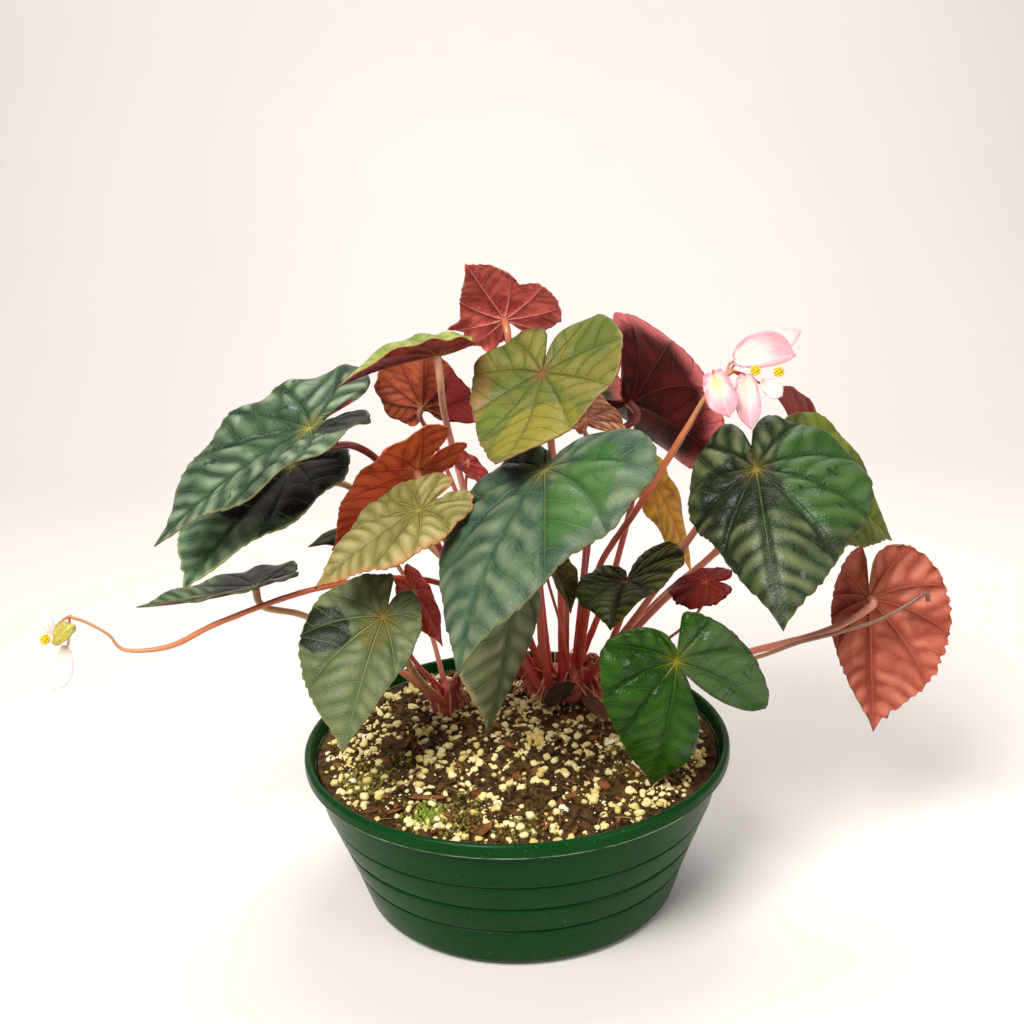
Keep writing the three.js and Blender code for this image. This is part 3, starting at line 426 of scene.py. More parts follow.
# The colours of each kind of leaf, in the order of lookParts. The first three are the upper face, the painted
# sheen, paler bands that stand in for the light caught between the ribs, and the shaded blotches, a colour
# also laid along the creases as painted shade; mottle the flecks, and the four of under are the lower face,
# the second of them its painted sheen, with some flecks, and the third also its painted crease shade. The
# last two are the share of flecks and the roughness.
lookParts = ("top", "paintedSheen", "dark", "mottle", "vein", "hub", "edge", "under", "underPaintedSheenAndFlecks", "underDark",
             "underVein", "flecks", "gloss")
maroonFace = ((86, 28, 30), (112, 44, 42), (46, 16, 18), (116, 52, 46))
leafLooks = {
    "deepGreen": ((42, 68, 42), (116, 140, 104), (22, 40, 28), (66, 100, 46), (84, 106, 68), (136, 136, 56),
        (104, 112, 64), *maroonFace, 0.5, 0.33),
    "blueGreen": ((66, 100, 74), (124, 150, 120), (38, 72, 60), (84, 118, 62), (112, 136, 92),
        (150, 158, 62), (110, 122, 74), *maroonFace, 0.6, 0.38),
    "brightGreen": ((36, 88, 24), (84, 122, 64), (22, 62, 20), (74, 112, 52), (92, 132, 48), (150, 142, 44),
        (90, 110, 46), (96, 60, 40), (120, 80, 54), (58, 34, 24), (130, 84, 56), 0.4, 0.24),
    "lime": ((140, 146, 62), (164, 166, 98), (104, 126, 50), (184, 156, 36), (116, 130, 66), (170, 100, 64),
        (184, 126, 78), (158, 110, 62), (180, 132, 80), (112, 66, 42), (176, 128, 84), 0.8, 0.42),
    "pale": ((148, 142, 84), (192, 182, 136), (118, 116, 62), (196, 158, 108), (186, 176, 120),
        (160, 150, 60), (204, 150, 98), (170, 118, 72), (190, 140, 92), (120, 74, 46), (186, 136, 92), 0.5,
        0.45),
    "greyGreen": ((94, 108, 76), (134, 144, 112), (72, 88, 60), (116, 108, 76), (150, 156, 122),
        (130, 112, 36), (140, 134, 92), (110, 60, 48), (134, 80, 62), (70, 36, 30), (146, 92, 70), 0.4,
        0.42),
    "darkOlive": ((52, 54, 24), (98, 112, 50), (26, 24, 14), (70, 80, 30), (96, 84, 52), (150, 104, 74),
        (100, 76, 44), (80, 30, 24), (100, 44, 34), (44, 20, 16), (110, 60, 44), 0.3, 0.36),
    "olive": ((112, 122, 58), (142, 146, 86), (78, 96, 46), (152, 142, 60), (144, 146, 88), (150, 120, 60),
        (150, 112, 64), (122, 44, 42), (150, 66, 56), (72, 26, 26), (140, 74, 58), 0.5, 0.42),
    "redUnder": ((84, 92, 54), (110, 116, 70), (60, 62, 38), (122, 96, 54), (128, 112, 70), (224, 146, 124),
        (196, 104, 88), (194, 84, 80), (222, 128, 114), (136, 44, 48), (216, 142, 130), 0.35, 0.42),
    "youngRed": ((168, 52, 44), (198, 84, 66), (116, 30, 30), (186, 74, 56), (196, 100, 78), (200, 110, 84),
        (190, 96, 76), (172, 56, 50), (200, 92, 74), (120, 34, 34), (140, 50, 44), 0.4, 0.4),
    "maroonUnder": ((70, 88, 58), (104, 118, 84), (46, 62, 42), (100, 100, 60), (120, 118, 84),
        (110, 50, 46), (140, 44, 50), *maroonFace, 0.4, 0.5),
    "rustUnder": ((92, 92, 50), (118, 116, 66), (64, 60, 34), (126, 96, 50), (130, 110, 66), (176, 116, 56),
        (184, 90, 58), (184, 72, 48), (208, 104, 70), (140, 44, 34), (112, 38, 28), 0.3, 0.45),
    "pinkUnder": ((92, 96, 60), (120, 122, 80), (66, 66, 44), (128, 104, 66), (136, 118, 84),
        (196, 134, 104), (204, 124, 106), (184, 96, 82), (210, 134, 116), (148, 64, 54), (196, 118, 100),
        0.3, 0.4),
    "amber": ((150, 108, 48), (182, 140, 72), (116, 76, 34), (166, 104, 48), (130, 84, 40), (170, 110, 60),
        (180, 106, 62), (164, 112, 50), (190, 142, 72), (140, 78, 38), (138, 82, 40), 0.5, 0.45),
    "burntOrange": ((160, 88, 56), (212, 164, 124), (118, 58, 38), (180, 112, 76), (120, 60, 40),
        (170, 110, 60), (190, 110, 74), (160, 86, 52), (206, 150, 116), (120, 54, 34), (126, 60, 40), 0.5,
        0.45),
    "deadBlade": ((58, 38, 24), (84, 58, 38), (34, 22, 14), (96, 64, 40), (104, 76, 52), (90, 60, 40),
        (190, 156, 124), (66, 42, 26), (92, 62, 40), (38, 24, 16), (100, 70, 48), 0.5, 0.5),
}

# What is particular to one leaf: its look and a tone that weakens or strengthens its red, green and blue,
# partly for its own colour and partly as painted light, lightening some leaves that lie in shade; the height
# of its puffs and ribs in mm;
# the depth of its teeth as a share of its reach; how strongly its bands of painted sheen show; how much of it
# is wet; how strong the painted shade in its creases is; its margin: colour, where it starts as a share of
# the reach, strength, on one leaf a painted lit edge; and its patches: place across and along as shares of
# its length, half width, half length, colour, strength, some of them painted shadows.
leafTouches = {
    "leaf_top_red": dict(look="redUnder", tone=(1.3, 1.36, 1.32), quilt=1.7, ribs=0.5, tooth=0.03,
         creaseShade=0.4),
    "leaf_top_lime": dict(look="lime", tone=(0.54, 0.48, 0.55), quilt=1.7, ribs=0.6, paintedSheenStrength=0.4,
         patchesAndPaintedShadows=[(-0.1, 0.55, 0.3, 0.3, (150, 132, 30), 0.35), (0.3, 0.3, 0.12, 0.12, (92, 112, 38), 0.45),
         (0.5, 0.1, 0.16, 0.3, (150, 104, 66), 0.4)]),
    # its pink margin is a painted lit edge on a leaf whose face lies in shade
    "leaf_maroon_back": dict(look="maroonUnder", tone=(0.7, 0.55, 0.55), quilt=1.3, ribs=0.2, shine=0.08,
         marginColourAndLight=((206, 106, 104), 0.72, 0.9)),
    "leaf_level_left": dict(look="olive", tone=(1.6, 1.5, 1.5), quilt=0.9, ribs=0.35),
    # its near-black second patch is a painted shadow over the drooping near lobe
    "leaf_far_left_upper": dict(look="deepGreen", tone=(1.35, 1.12, 1.3), quilt=2.2, ribs=1.0, paintedSheenStrength=0.8,
         wet=1, patchesAndPaintedShadows=[(0.12, 0.12, 0.3, 0.24, (40, 66, 38), 0.6),
         (-0.26, -0.14, 0.24, 0.2, (20, 22, 18), 0.95)]),
    # the near-black patch over most of it is a painted shadow cast by the leaf above, and its strong tone
    # lightens the rest as painted light
    "leaf_far_left_lower": dict(look="deepGreen", tone=(2.4, 2.0, 2.2), quilt=1.3, ribs=0.4, paintedSheenStrength=0.4,
         shine=0.08, patchesAndPaintedShadows=[(0.1, 0.16, 0.75, 0.36, (20, 13, 13), 0.98)]),
    # its first, dark patch is a painted shadow from the leaves over it; the orange-brown one is a dead spot
    "leaf_low_left": dict(look="deepGreen", tone=(1.2, 1.15, 0.95), quilt=0.9, ribs=0.25, paintedSheenStrength=0.5,
         patchesAndPaintedShadows=[(0.0, 0.02, 0.6, 0.34, (44, 36, 32), 0.85), (-0.16, 0.5, 0.1, 0.14, (196, 122, 66), 1)]),
    "leaf_round_rust": dict(look="rustUnder", tone=(0.88, 1.4, 1.2), quilt=1.6, ribs=0.8, tooth=0.03,
         creaseShade=0.5, patchesAndPaintedShadows=[(-0.6, 0.1, 0.34, 0.9, (212, 74, 82), 0.8)]),
    "leaf_rust_left": dict(look="rustUnder", tone=(1.2, 1.35, 0.95), quilt=1.2, ribs=0.2),
    "leaf_young_left": dict(look="youngRed", quilt=0.5, ribs=0.2),
    "leaf_pale_left": dict(look="pale", tone=(0.7, 0.68, 0.6), quilt=2.4, ribs=1.2, tooth=0.025, paintedSheenStrength=0.7,
         marginColourAndLight=((176, 120, 74), 0.86, 0.6)),
    "leaf_grey_front_left": dict(look="greyGreen", tone=(0.85, 0.8, 0.65), quilt=1.7, ribs=0.7, paintedSheenStrength=0.5,
         wet=0.2, patchesAndPaintedShadows=[(0.42, 0.2, 0.26, 0.18, (18, 30, 16), 0.98),
         (0.0, 0.1, 0.14, 0.18, (92, 84, 28), 0.7)]),
    # its strong tone lightens it as painted light, where it lies in the shade of the leaves in front
    "leaf_young_low": dict(look="youngRed", tone=(2.0, 2.4, 2.0), quilt=0.8, ribs=0.3, tooth=0.04),
    "leaf_big_centre": dict(look="blueGreen", tone=(0.98, 0.74, 0.72), quilt=2.4, ribs=1.05, paintedSheenStrength=0.65,
         wet=0.5, patchesAndPaintedShadows=[(-0.28, 0.12, 0.16, 0.3, (46, 90, 26), 0.65),
         (0.4, -0.1, 0.3, 0.2, (36, 62, 58), 0.6)]),
    "leaf_grey_hanging": dict(look="greyGreen", tone=(0.9, 0.8, 0.7), quilt=2.4, ribs=0.9, paintedSheenStrength=1.0,
         creaseShade=0.8, marginColourAndLight=((158, 140, 104), 0.92, 0.6)),
    "leaf_dark_small": dict(look="darkOlive", tone=(0.9, 0.86, 0.4), quilt=1.8, ribs=1.2, paintedSheenStrength=1.0,
         creaseShade=0.6, shine=0.08, patchesAndPaintedShadows=[(0.4, 0.3, 0.36, 0.5, (58, 76, 22), 0.6)]),
    "leaf_dark_young": dict(look="darkOlive", tone=(2.2, 1.9, 1.3), quilt=0.5, ribs=0.2),
    "leaf_lobed_front": dict(look="brightGreen", tone=(0.72, 0.66, 0.24), quilt=2.6, ribs=1.0, paintedSheenStrength=0.35,
         wet=1, creaseShade=0.5, patchesAndPaintedShadows=[(-0.42, -0.02, 0.46, 0.34, (66, 84, 50), 0.8)]),
    "leaf_big_right": dict(look="deepGreen", tone=(0.84, 0.64, 0.52), quilt=2.5, ribs=1.0, paintedSheenStrength=0.75, wet=1,
         patchesAndPaintedShadows=[(-0.4, 0.05, 0.3, 0.4, (44, 80, 32), 0.65), (0.12, 0.1, 0.26, 0.26, (22, 28, 20), 0.85)]),
    "leaf_behind_right": dict(look="olive", tone=(0.75, 0.74, 0.42), quilt=1.3, ribs=0.5, shine=0.1),
    "leaf_young_behind_right": dict(look="maroonUnder", tone=(1.05, 0.85, 0.75), quilt=0.9, ribs=0.3,
         patchesAndPaintedShadows=[(0, 0.3, 1, 1, (136, 52, 44), 0.8)]),
    # its darker patch on the left is a painted shadow cast by its stalk
    "leaf_pink_far_right": dict(look="pinkUnder", tone=(0.86, 0.8, 0.68), quilt=3.4, ribs=1.2, tooth=0.03,
         creaseShade=0.75, paintedSheenStrength=0.9, patchesAndPaintedShadows=[(-0.3, 0.2, 0.22, 0.7, (120, 46, 38), 0.5)]),
    "leaf_young_toothed": dict(look="youngRed", tone=(0.8, 0.45, 0.3), quilt=0.8, ribs=0.4, tooth=0.14,
         patchesAndPaintedShadows=[(0, 0.3, 2, 2, (112, 34, 26), 0.6)]),
    # its strong tone lightens it as painted light, where it lies in shade
    "leaf_amber_back": dict(look="amber", tone=(2.8, 2.9, 1.6), quilt=0.9, ribs=0.35),
    "leaf_orange_back": dict(look="burntOrange", tone=(1.3, 1.3, 1.2), quilt=0.8, ribs=0.6, paintedSheenStrength=0.9),
    "leaf_dark_tip_left": dict(look="darkOlive", quilt=0.6, ribs=0.2, shine=0.08),
    "dead_leaf": dict(look="deadBlade", quilt=0.9, ribs=0.4, tooth=0.05),
    "dead_strap": dict(look="deadBlade", quilt=0.3, ribs=0.2, tooth=0.03,
         patchesAndPaintedShadows=[(0, 0.3, 2, 2, (112, 64, 24), 0.7)]),
}


def lookOf(name, tone=(1, 1, 1)):
    look = dict(zip(lookParts, leafLooks[name]))
    for part in lookParts[:-2]:
        look[part] = tuple(min(1, value * by) for value, by in zip(tint(*look[part]), (*tone, 1)))
    return look


# how fine each pattern of a blade is, as grains along 60 mm
leafGrains = dict(cloud=3.2, sheen=2.2, wet=4.5, patch=6, fleck=17, net=34, fine=70)


def leafPaint(leaf, touch):
    look = lookOf(touch["look"], touch.get("tone", (1, 1, 1)))
    paint = Paint(leaf["name"])
    flat = paint.attribute("flat")
    u, v, under = paint.split(flat)
    vein, phase, share = paint.split(paint.attribute("net"))
    top = 1 - under
    grains = {key: value * leaf["length"] / 60 for key, value in leafGrains.items()}
    cloud = paint.noise(flat, grains["cloud"], 4, 0.6, 0.6)
    blotch = paint.band(cloud, 0.38, 0.62)
    sheen = paint.band(paint.noise(flat, grains["sheen"], 3, 0.5, 0.3), 0.34, 0.6)
    fleck = paint.band(paint.noise(flat, grains["fleck"], 4, 0.7, 0.3), 0.52, 0.68)
    fine = paint.noise(flat, grains["fine"], 2)
    wet = paint.band(paint.noise(flat, grains["wet"], 6, 0.72, 0.8), 0.6, 0.625) * touch.get("wet", 0)
    rib = phase.bounce(0.5)
    # painted sheen: paler bands between the lateral veins that stand in for the light caught by the ribs
    paintedSheen = paint.band(rib, 0.0, 0.5) * paint.band(vein, 0.3, 3.5) * (0.25 + 0.75 * sheen)
    mainVein = 1 - paint.band(vein / (0.62 - 0.42 * share), 0.4, 1.0)
    sideVein = (1 - paint.band(rib, 0.015, 0.045)) * paint.band(vein, 0.0, 0.8)
    hubZone = 1 - paint.band(phase, 0.1, 0.9)
    # painted shade along the main veins, where the creases lie
    creaseShade = (1 - paint.band(vein, 0.3, 4.5)) * (1 - 0.6 * share) * touch.get("creaseShade", 0.25)

    spots = []
    # patches: the leaf's own marks, and on some leaves painted shadows
    for across, along, wide, long, colour, strength in touch.get("patchesAndPaintedShadows", []):
        off = ((u - across) / wide) ** 2.0 + ((v - along) / long) ** 2.0
        ragged = off + 1.2 * (paint.noise(flat, grains["patch"], 5, 0.65) - 0.5)
        spots.append(((1 - paint.band(ragged, 0.72, 1.0)) * strength, tint(*colour)))
    # the margin: a real edge colour on most leaves, and a painted lit edge on the maroon back leaf
    if "marginColourAndLight" in touch:
        colour, start, strength = touch["marginColourAndLight"]
        spots.append((paint.band(share + 0.25 * (cloud - 0.5), start, 1.0) * strength, tint(*colour)))
    # the upper face: its own colours, with bands of painted sheen and painted shade in the creases laid over
    # them
    upper = paint.layers(
        paint.mix(blotch, look["dark"], look["top"]), (paintedSheen * touch.get("paintedSheenStrength", 0.4), look["paintedSheen"]),
        (fleck * look["flecks"] * blotch, look["mottle"]), *spots, (wet * 0.8 + creaseShade, look["dark"]),
        (sideVein * 0.3, look["vein"]), (mainVein * 0.45, look["vein"]),
        ((hubZone * mainVein).over(hubZone * 0.3) * 0.7, look["hub"]))
    # the lower face, where the painted sheen and the painted crease shade are laid as on the upper one
    lower = paint.layers(
        paint.mix(blotch, look["underDark"], look["under"]),
        (paintedSheen * touch.get("paintedSheenStrength", 0.5) + 0.25 * fleck * blotch, look["underPaintedSheenAndFlecks"]), *spots,
        (creaseShade, look["underDark"]), (sideVein * 0.45, look["underVein"]),
        (mainVein * 0.7, look["underVein"]), (hubZone * 0.5, look["hub"]))
    rim = paint.band(share, 0.965, 0.985)
    colour = paint.layers(paint.mix(under, upper, lower), (rim * 0.5, look["edge"]))

    lines = 0 - 1.0 * mainVein - 0.8 * sideVein
    cellRise = paint.band(paint.cells(flat, grains["net"]), 0.0, 0.24) * 0.15
    height = (lines + cellRise * (1 - wet)) * (1 - 2 * under) + 0.06 * fine + 0.3 * wet
    rough = look["gloss"] * top + 0.48 * under + 0.1 * (fine - 0.5) + 0.14 * (cloud - 0.5) + 0.1 * fleck
    return paint.surface(color=colour, roughness=rough * (1 - 0.65 * wet), coat=(wet * 0.5 + 0.02) * top,
                         coatRoughness=0.16, specular=touch.get("shine", 0.14),
                         normal=paint.bump(height, 0.9, 0.6))


def makeBlade(leaf, touch, material, slot):
    small = leaf["length"] < 40
    perSector, rings = (8, 14) if small else (14, 26)
    vertices, faces, flat, net = bladeShape(leaf, perSector, rings, touch["quilt"], touch["ribs"],
                                            touch.get("tooth", bladeMake["toothDepth"]))
    piece = makePiece(leaf["name"] + "_blade", vertices, faces, material, slot, leaf["name"])
    store(piece, "flat", flat)
    store(piece, "net", net)
    return piece


for leaf in leaves:
    touch = leafTouches[leaf["name"]]
    makeBlade(leaf, touch, leafPaint(leaf, touch), slotOf[leaf["name"]])
print("leaves made")

petalLook = dict(white=tint(226, 206, 198), pink=tint(218, 128, 142), deep=tint(202, 92, 116),
                 vein=tint(226, 172, 178), heart=tint(214, 196, 108))


def petalPaint(name, pinkness, heart):
    paint = Paint(name)
    flat = paint.attribute("flat")
    vein, phase, share = paint.split(paint.attribute("net"))
    cloud = paint.noise(flat, 3, 3, 0.6, 0.5)
    streak = paint.noise(paint.stretch(flat, (1, 0.12, 0)), 26, 3)
    blush = paint.band(share + 0.5 * (cloud - 0.5), 0.95 - 0.75 * pinkness, 1.1 - 0.3 * pinkness)
    colour = paint.layers(
        petalLook["white"], (blush * (0.3 + 0.7 * pinkness), petalLook["pink"]),
        (paint.band(streak, 0.5, 0.75) * 0.4 * blush, petalLook["deep"]),
        ((1 - paint.band(vein, 0.1, 0.45)) * 0.5, petalLook["vein"]),
        ((1 - paint.band(share, 0.06, 0.6)) * heart, petalLook["heart"]))
    height = streak * 0.5 + paint.noise(flat, 40, 3) * 0.5
    return paint.surface(color=colour, roughness=0.42 + 0.2 * cloud, through=0.12, coat=0.1,
                         normal=paint.bump(height, 0.4, 0.25))


petalTouches = {
    "bloom_right_tepal_top": (0.75, 0.15), "bloom_right_tepal_back": (0.35, 0.1),
    "bloom_right_tepal_low": (0.12, 0.2), "bloom_right_tepal_left": (0.85, 0.75),
    "bloom_right_tepal_mid": (0.7, 0.3), "bloom_left_tepal_up": (0, 0.1), "bloom_left_tepal_low": (0, 0.2),
}
petalMake = dict(quilt=0.22, ribs=0.12, tooth=0.01)

for petal in petals:
    name = petal["name"]
    if name in petalTouches:
        makeBlade(petal, petalMake, petalPaint(name, *petalTouches[name]), slotOf[name])
    else:
        makeBlade(petal, leafTouches[name], leafPaint(petal, leafTouches[name]), slotOf[name])
print("petals made")


def wayOf(points, step):
    # places along the smooth curve through the points
    points = [Vector(point) for point in points]
    points = [2 * points[0] - points[1], *points, 2 * points[-1] - points[-2]]
    way = []
    for a, b, c, d in zip(points, points[1:], points[2:], points[3:]):
        t0, t1, t2 = ((q - p).length ** 0.5 for p, q in ((a, b), (b, c), (c, d)))
        leave = ((b - a) / t0 - (c - a) / (t0 + t1) + (c - b) / t1) * t1
        arrive = ((c - b) / t1 - (d - b) / (t1 + t2) + (d - c) / t2) * t1
        count = max(2, round((c - b).length / step))
        for s in (i / count for i in range(count)):
            way.append(b * (2 * s ** 3 - 3 * s * s + 1) + leave * (s ** 3 - 2 * s * s + s)
                       + c * (3 * s * s - 2 * s ** 3) + arrive * (s ** 3 - s * s))
    return way + [points[-2]]


def tube(way, radiusAt, sides=12):
    # a round closed stem along a way; radiusAt takes the share of the way and the turn around it
    side = Vector((1, 0, 0))
    vertices, along, faces = [], [], ringFaces(len(way), sides)
    last = len(way) - 1
    for i, spot in enumerate(way):
        ahead = (way[min(i + 1, last)] - way[max(i - 1, 0)]).normalized()
        side = (side - side.dot(ahead) * ahead).normalized()
        other = ahead.cross(side)
        for k in range(sides):
            turn = 2 * pi * k / sides
            radius = radiusAt(i / last, turn)
            vertices.append(spot + (side * cos(turn) + other * sin(turn)) * radius)
            along.append(i / last)
    start = len(vertices)
    vertices += [way[0], way[-1]]
    along += [0, 1]
    for k in range(sides):
        j = (k + 1) % sides
        faces += [(start, j, k), (start + 1, last * sides + k, last * sides + j)]
    return [tuple(vertex) for vertex in vertices], faces, along


# colours of a stalk at its foot, its middle and its head
stalkColours = {
    "red": (tint(196, 58, 54), tint(204, 96, 80), tint(172, 108, 78)),
    "deepRed": (tint(156, 34, 40), tint(158, 52, 50), tint(136, 60, 52)),
    "pink": (tint(208, 82, 76), tint(222, 142, 124), tint(210, 150, 120)),
    "tan": (tint(192, 84, 66), tint(206, 150, 108), tint(192, 154, 102)),
    "brown": (tint(182, 66, 56), tint(196, 118, 94), tint(188, 122, 98)),
    "orange": (tint(170, 66, 46), tint(186, 96, 62), tint(170, 112, 76)),
    "bloom": (tint(176, 66, 46), tint(198, 92, 54), tint(168, 124, 76)),
    "dried": (tint(120, 76, 56), tint(150, 104, 76), tint(104, 62, 44)),
}


def stalkPaint(name):
    foot, middle, head = stalkColours[name]
    paint = Paint("stalk_" + name)
    along = paint.amount("along")
    where = paint.place()
    streak = paint.noise(paint.stretch(where, (1, 1, 0.1)), 1400, 3)
    blotch = paint.noise(where, 160, 4, 0.6)
    ragged = along + 0.3 * (blotch - 0.5)
    colour = paint.layers(foot, (paint.band(ragged, 0.0, 0.4), middle), (paint.band(ragged, 0.6, 1.0), head),
                          (paint.band(streak, 0.5, 0.7) * 0.45, head),
                          (paint.band(blotch, 0.56, 0.7) * 0.5, foot))
    return paint.surface(color=colour, roughness=0.3 + 0.25 * blotch, coat=0.15,
                         normal=paint.bump(streak + blotch, 0.5, 0.25))


stalkPaints = {name: stalkPaint(name) for name in stalkColours}
# radius of a stalk and the length of its straight end under the blade, for leaves longer than the first value
stalkSizes = ((59, 1.9, 9), (40, 1.75, 9), (25, 1.25, 5), (0, 0.8, 3))
petalStalkRadius = 0.5
# heights of the middle of a crown, of the feet of its stalks and of its scales and strands
crownLevels = dict(base=76, foot=81, scale=82, strand=80)
# the crowns: place, reach, size of the base, and how many scales and dried strands stand on them
crownMake = {
    "crown_main": dict(x=26, y=46, radius=21, size=(20.5, 18.5, 8), scales=30, strands=34),
    "crown_left": dict(x=-35, y=30, radius=8, size=(8.4, 8.4, 7), scales=9, strands=10),
}


def crownOf(spot):
    left = crownMake["crown_left"]
    near = hypot(spot[0] - left["x"], spot[1] - left["y"]) < left["radius"] + 3
    return "crown_left" if near else "crown_main"


def clearOfCrowns(x, y, share, room=0):
    return all(hypot(x - crown["x"], y - crown["y"]) > crown["radius"] * share + room
               for crown in crownMake.values())


def thickness(radius, length, seed, slim=1):
    # thicker at the foot, a swelling under the blade, small unevenness, and a slimmer end for a flower stalk
    def at(share, turn):
        thin = 1 - (1 - slim) * min(1, max(0, (share - 0.8) / 0.12))
        foot = 0.45 * exp(-share * length / 16)
        neck = 0.22 * exp(-(1 - share) * length / 5)
        rough = 0.09 * noise.noise(Vector((share * length / 5, cos(turn), seed + sin(turn))))
        return radius * thin * (0.92 + foot + neck + rough)
    return at


def makeStalk(name, points, radius, kind, crown, slim=1):
    way = wayOf(points, 2.2)
    length = sum((b - a).length for a, b in zip(way, way[1:]))
    vertices, faces, along = tube(way, thickness(radius, length, len(name), slim))
    piece = makePiece(name, vertices, faces, stalkPaints[kind], slotOf[crown], crown)
    store(piece, "along", along)


for leaf in leaves + petals:
    radius, approach = next(size[1:] for size in stalkSizes if leaf["length"] > size[0])
    down = Vector(-leafTurn(leaf)[:, 2])
    hub = Vector(leaf["hub"])
    points = [*leaf["path"], hub + down * approach, hub + down * 0.4]
    crown = "crown_main" if leaf in petals else crownOf(leaf["path"][0])
    if leaf["name"] in petalTouches:
        radius = petalStalkRadius
    makeStalk(leaf["name"] + "_stalk", points, radius, leaf["stalk"], crown)

# radius of each flower stalk, how much of it is left at its end, its kind and its way
flowerStalks = {
    "right_flower_stalk": (1.75, 0.6, "bloom", (
        (32, 46, 84), (42, 32, 146), (61, 12, 186), (82, -2, 227), (88, -5, 239), (96, -5, 248),
        (101, -3, 251))),
    "left_flower_stalk": (1.5, 0.5, "bloom", (
        (16, 42, 82), (2, 32, 124), (-35, 15, 150), (-54, 10, 155), (-92, 1, 154), (-137, -5, 141),
        (-162, -5, 130), (-183, -5, 130), (-188, -5, 137), (-198, -5, 144), (-205, -5, 147))),
    "dried_stalk": (1.1, 0.9, "dried", (
        (44, 44, 80), (78, 20, 98), (114, 0, 112), (133, -9, 123), (150, -15, 130), (168, -18, 137),
        (182, -18, 145), (188, -18, 149), (189, -18, 145))),
}
for name, (radius, slim, kind, points) in flowerStalks.items():
    makeStalk(name, points, radius, kind, "crown_main", slim)
print("stalks made")


def lump(centre, size, seed, roughness=0.2, finer=3, turn=(0, 0, 0), coarse=1.2):
    # an uneven ball
    ball = bmesh.new()
    bmesh.ops.create_icosphere(ball, subdivisions=finer, radius=1)
    spin = Euler(turn).to_matrix()
    vertices = []
    for vertex in ball.verts:
        way = vertex.co.normalized()
        reach = 1 + roughness * noise.fractal(way * coarse + Vector((seed, 0, seed * 0.37)), 0.8, 2, 3)
        vertices.append(tuple(spin @ Vector(a * b * reach for a, b in zip(way, size)) + Vector(centre)))
    faces = [tuple(vertex.index for vertex in face.verts) for face in ball.faces]
    ball.free()
    return vertices, faces


def gather(shapes):
    # several shapes as one
    vertices, faces, owner = [], [], []
    for number, (points, sides) in enumerate(shapes):
        start = len(vertices)
        vertices += points
        faces += [tuple(start + corner for corner in side) for side in sides]
        owner += [number] * len(points)
    return vertices, faces, owner


def makeMany(name, shapes, material, node):
    # one piece of several shapes, and the number of the shape that each vertex comes from
    vertices, faces, owner = gather(shapes)
    return makePiece(name, vertices, faces, material, slotOf[node], node), owner


def sheetFaces(rows, columns, flipped=False):
    # the sides of a thin closed sheet: its two faces, one after the other, and the rim between them
    size = (rows + 1) * columns
    faces = []
    for i in range(rows):
        for k in range(columns - 1):
            a = i * columns + k
            near, far = (a, a + 1, a + columns + 1, a + columns), (a, a + columns, a + columns + 1, a + 1)
            if flipped:
                near, far = far, near
            faces += [near, tuple(size + corner for corner in far)]
    loop = [i * columns for i in range(rows + 1)] + [rows * columns + k for k in range(1, columns)]
    loop += [i * columns + columns - 1 for i in range(rows - 1, -1, -1)] + list(range(columns - 2, 0, -1))
    for a, b in zip(loop, loop[1:] + loop[:1]):
        faces.append((a, b, size + b, size + a) if flipped else (b, a, size + a, size + b))
    return faces


def scaleLeaf(foot, heading, lean, length, width, seed):
    # a papery pointed scale, cupped round the stalks
    rows, columns = 9, 7
    turn = Matrix.Rotation(heading, 3, "Z") @ Matrix.Rotation(lean, 3, "Y")
    sheets = []
    for side in (0.16, -0.16):
        for i in range(rows + 1):
            t = i / rows
            half = width * (0.5 * (1 - t) ** 0.8 * (1 + 0.8 * t) + 0.015)
            for k in range(columns):
                s = 2 * k / (columns - 1) - 1
                rough = 0.5 * noise.noise(Vector((4 * t, 2 * s, seed)))
                out = 0.35 * width * s * s * (1 - t) + side + rough + 2.2 * t * t
                sheets.append(tuple(turn @ Vector((out, half * s, length * t)) + Vector(foot)))
    return sheets, sheetFaces(rows, columns)


def specklePaint(name, colours, coarse, fine, bands, rough, relief, pull=(1, 1, 1), **sockets):
    # the first two colours blend over the coarse noise, and specks of the third lie on the fine one
    paint = Paint(name)
    where = paint.place()
    clod = paint.noise(where, *coarse)
    grit = paint.noise(paint.stretch(where, pull), *fine)
    colour = paint.layers(colours[0], (paint.band(clod, bands[0], bands[1]), colours[1]),
                          (paint.band(grit, bands[2], bands[3]) * bands[4], colours[2]))
    return paint.surface(color=colour, roughness=rough[0] + rough[1] * (grit - 0.5),
                         normal=paint.bump(clod + grit, *relief), **sockets)


def crownPaint(name, *colours):
    return specklePaint(name, colours, (130, 5, 0.65, 0.4), (900, 4, 0.6), (0.38, 0.62, 0.5, 0.68, 0.6),
                        (0.6, 0.3), (0.7, 0.6), (1, 1, 0.15))


crownSkin = crownPaint("crown skin", tint(120, 44, 38), tint(196, 82, 68), tint(216, 128, 98))
strandSkin = crownPaint("papery strand", tint(196, 110, 84), tint(226, 164, 132), tint(232, 196, 160))
scaleSkin = crownPaint("papery scale", tint(170, 62, 52), tint(218, 110, 92), tint(228, 174, 138))
chance = random.Random(19)


def scaleOf(make, seed):
    wide, deep, high = make["size"]
    turn, reach = chance.uniform(0, 2 * pi), chance.uniform(0.35, 0.85)
    foot = (make["x"] + wide * reach * cos(turn), make["y"] + deep * reach * sin(turn),
            crownLevels["scale"])
    lean, length, width = chance.uniform(-0.1, 0.45), chance.uniform(9, 18), chance.uniform(4, 7.5)
    return scaleLeaf(foot, turn, lean, length, width, seed)


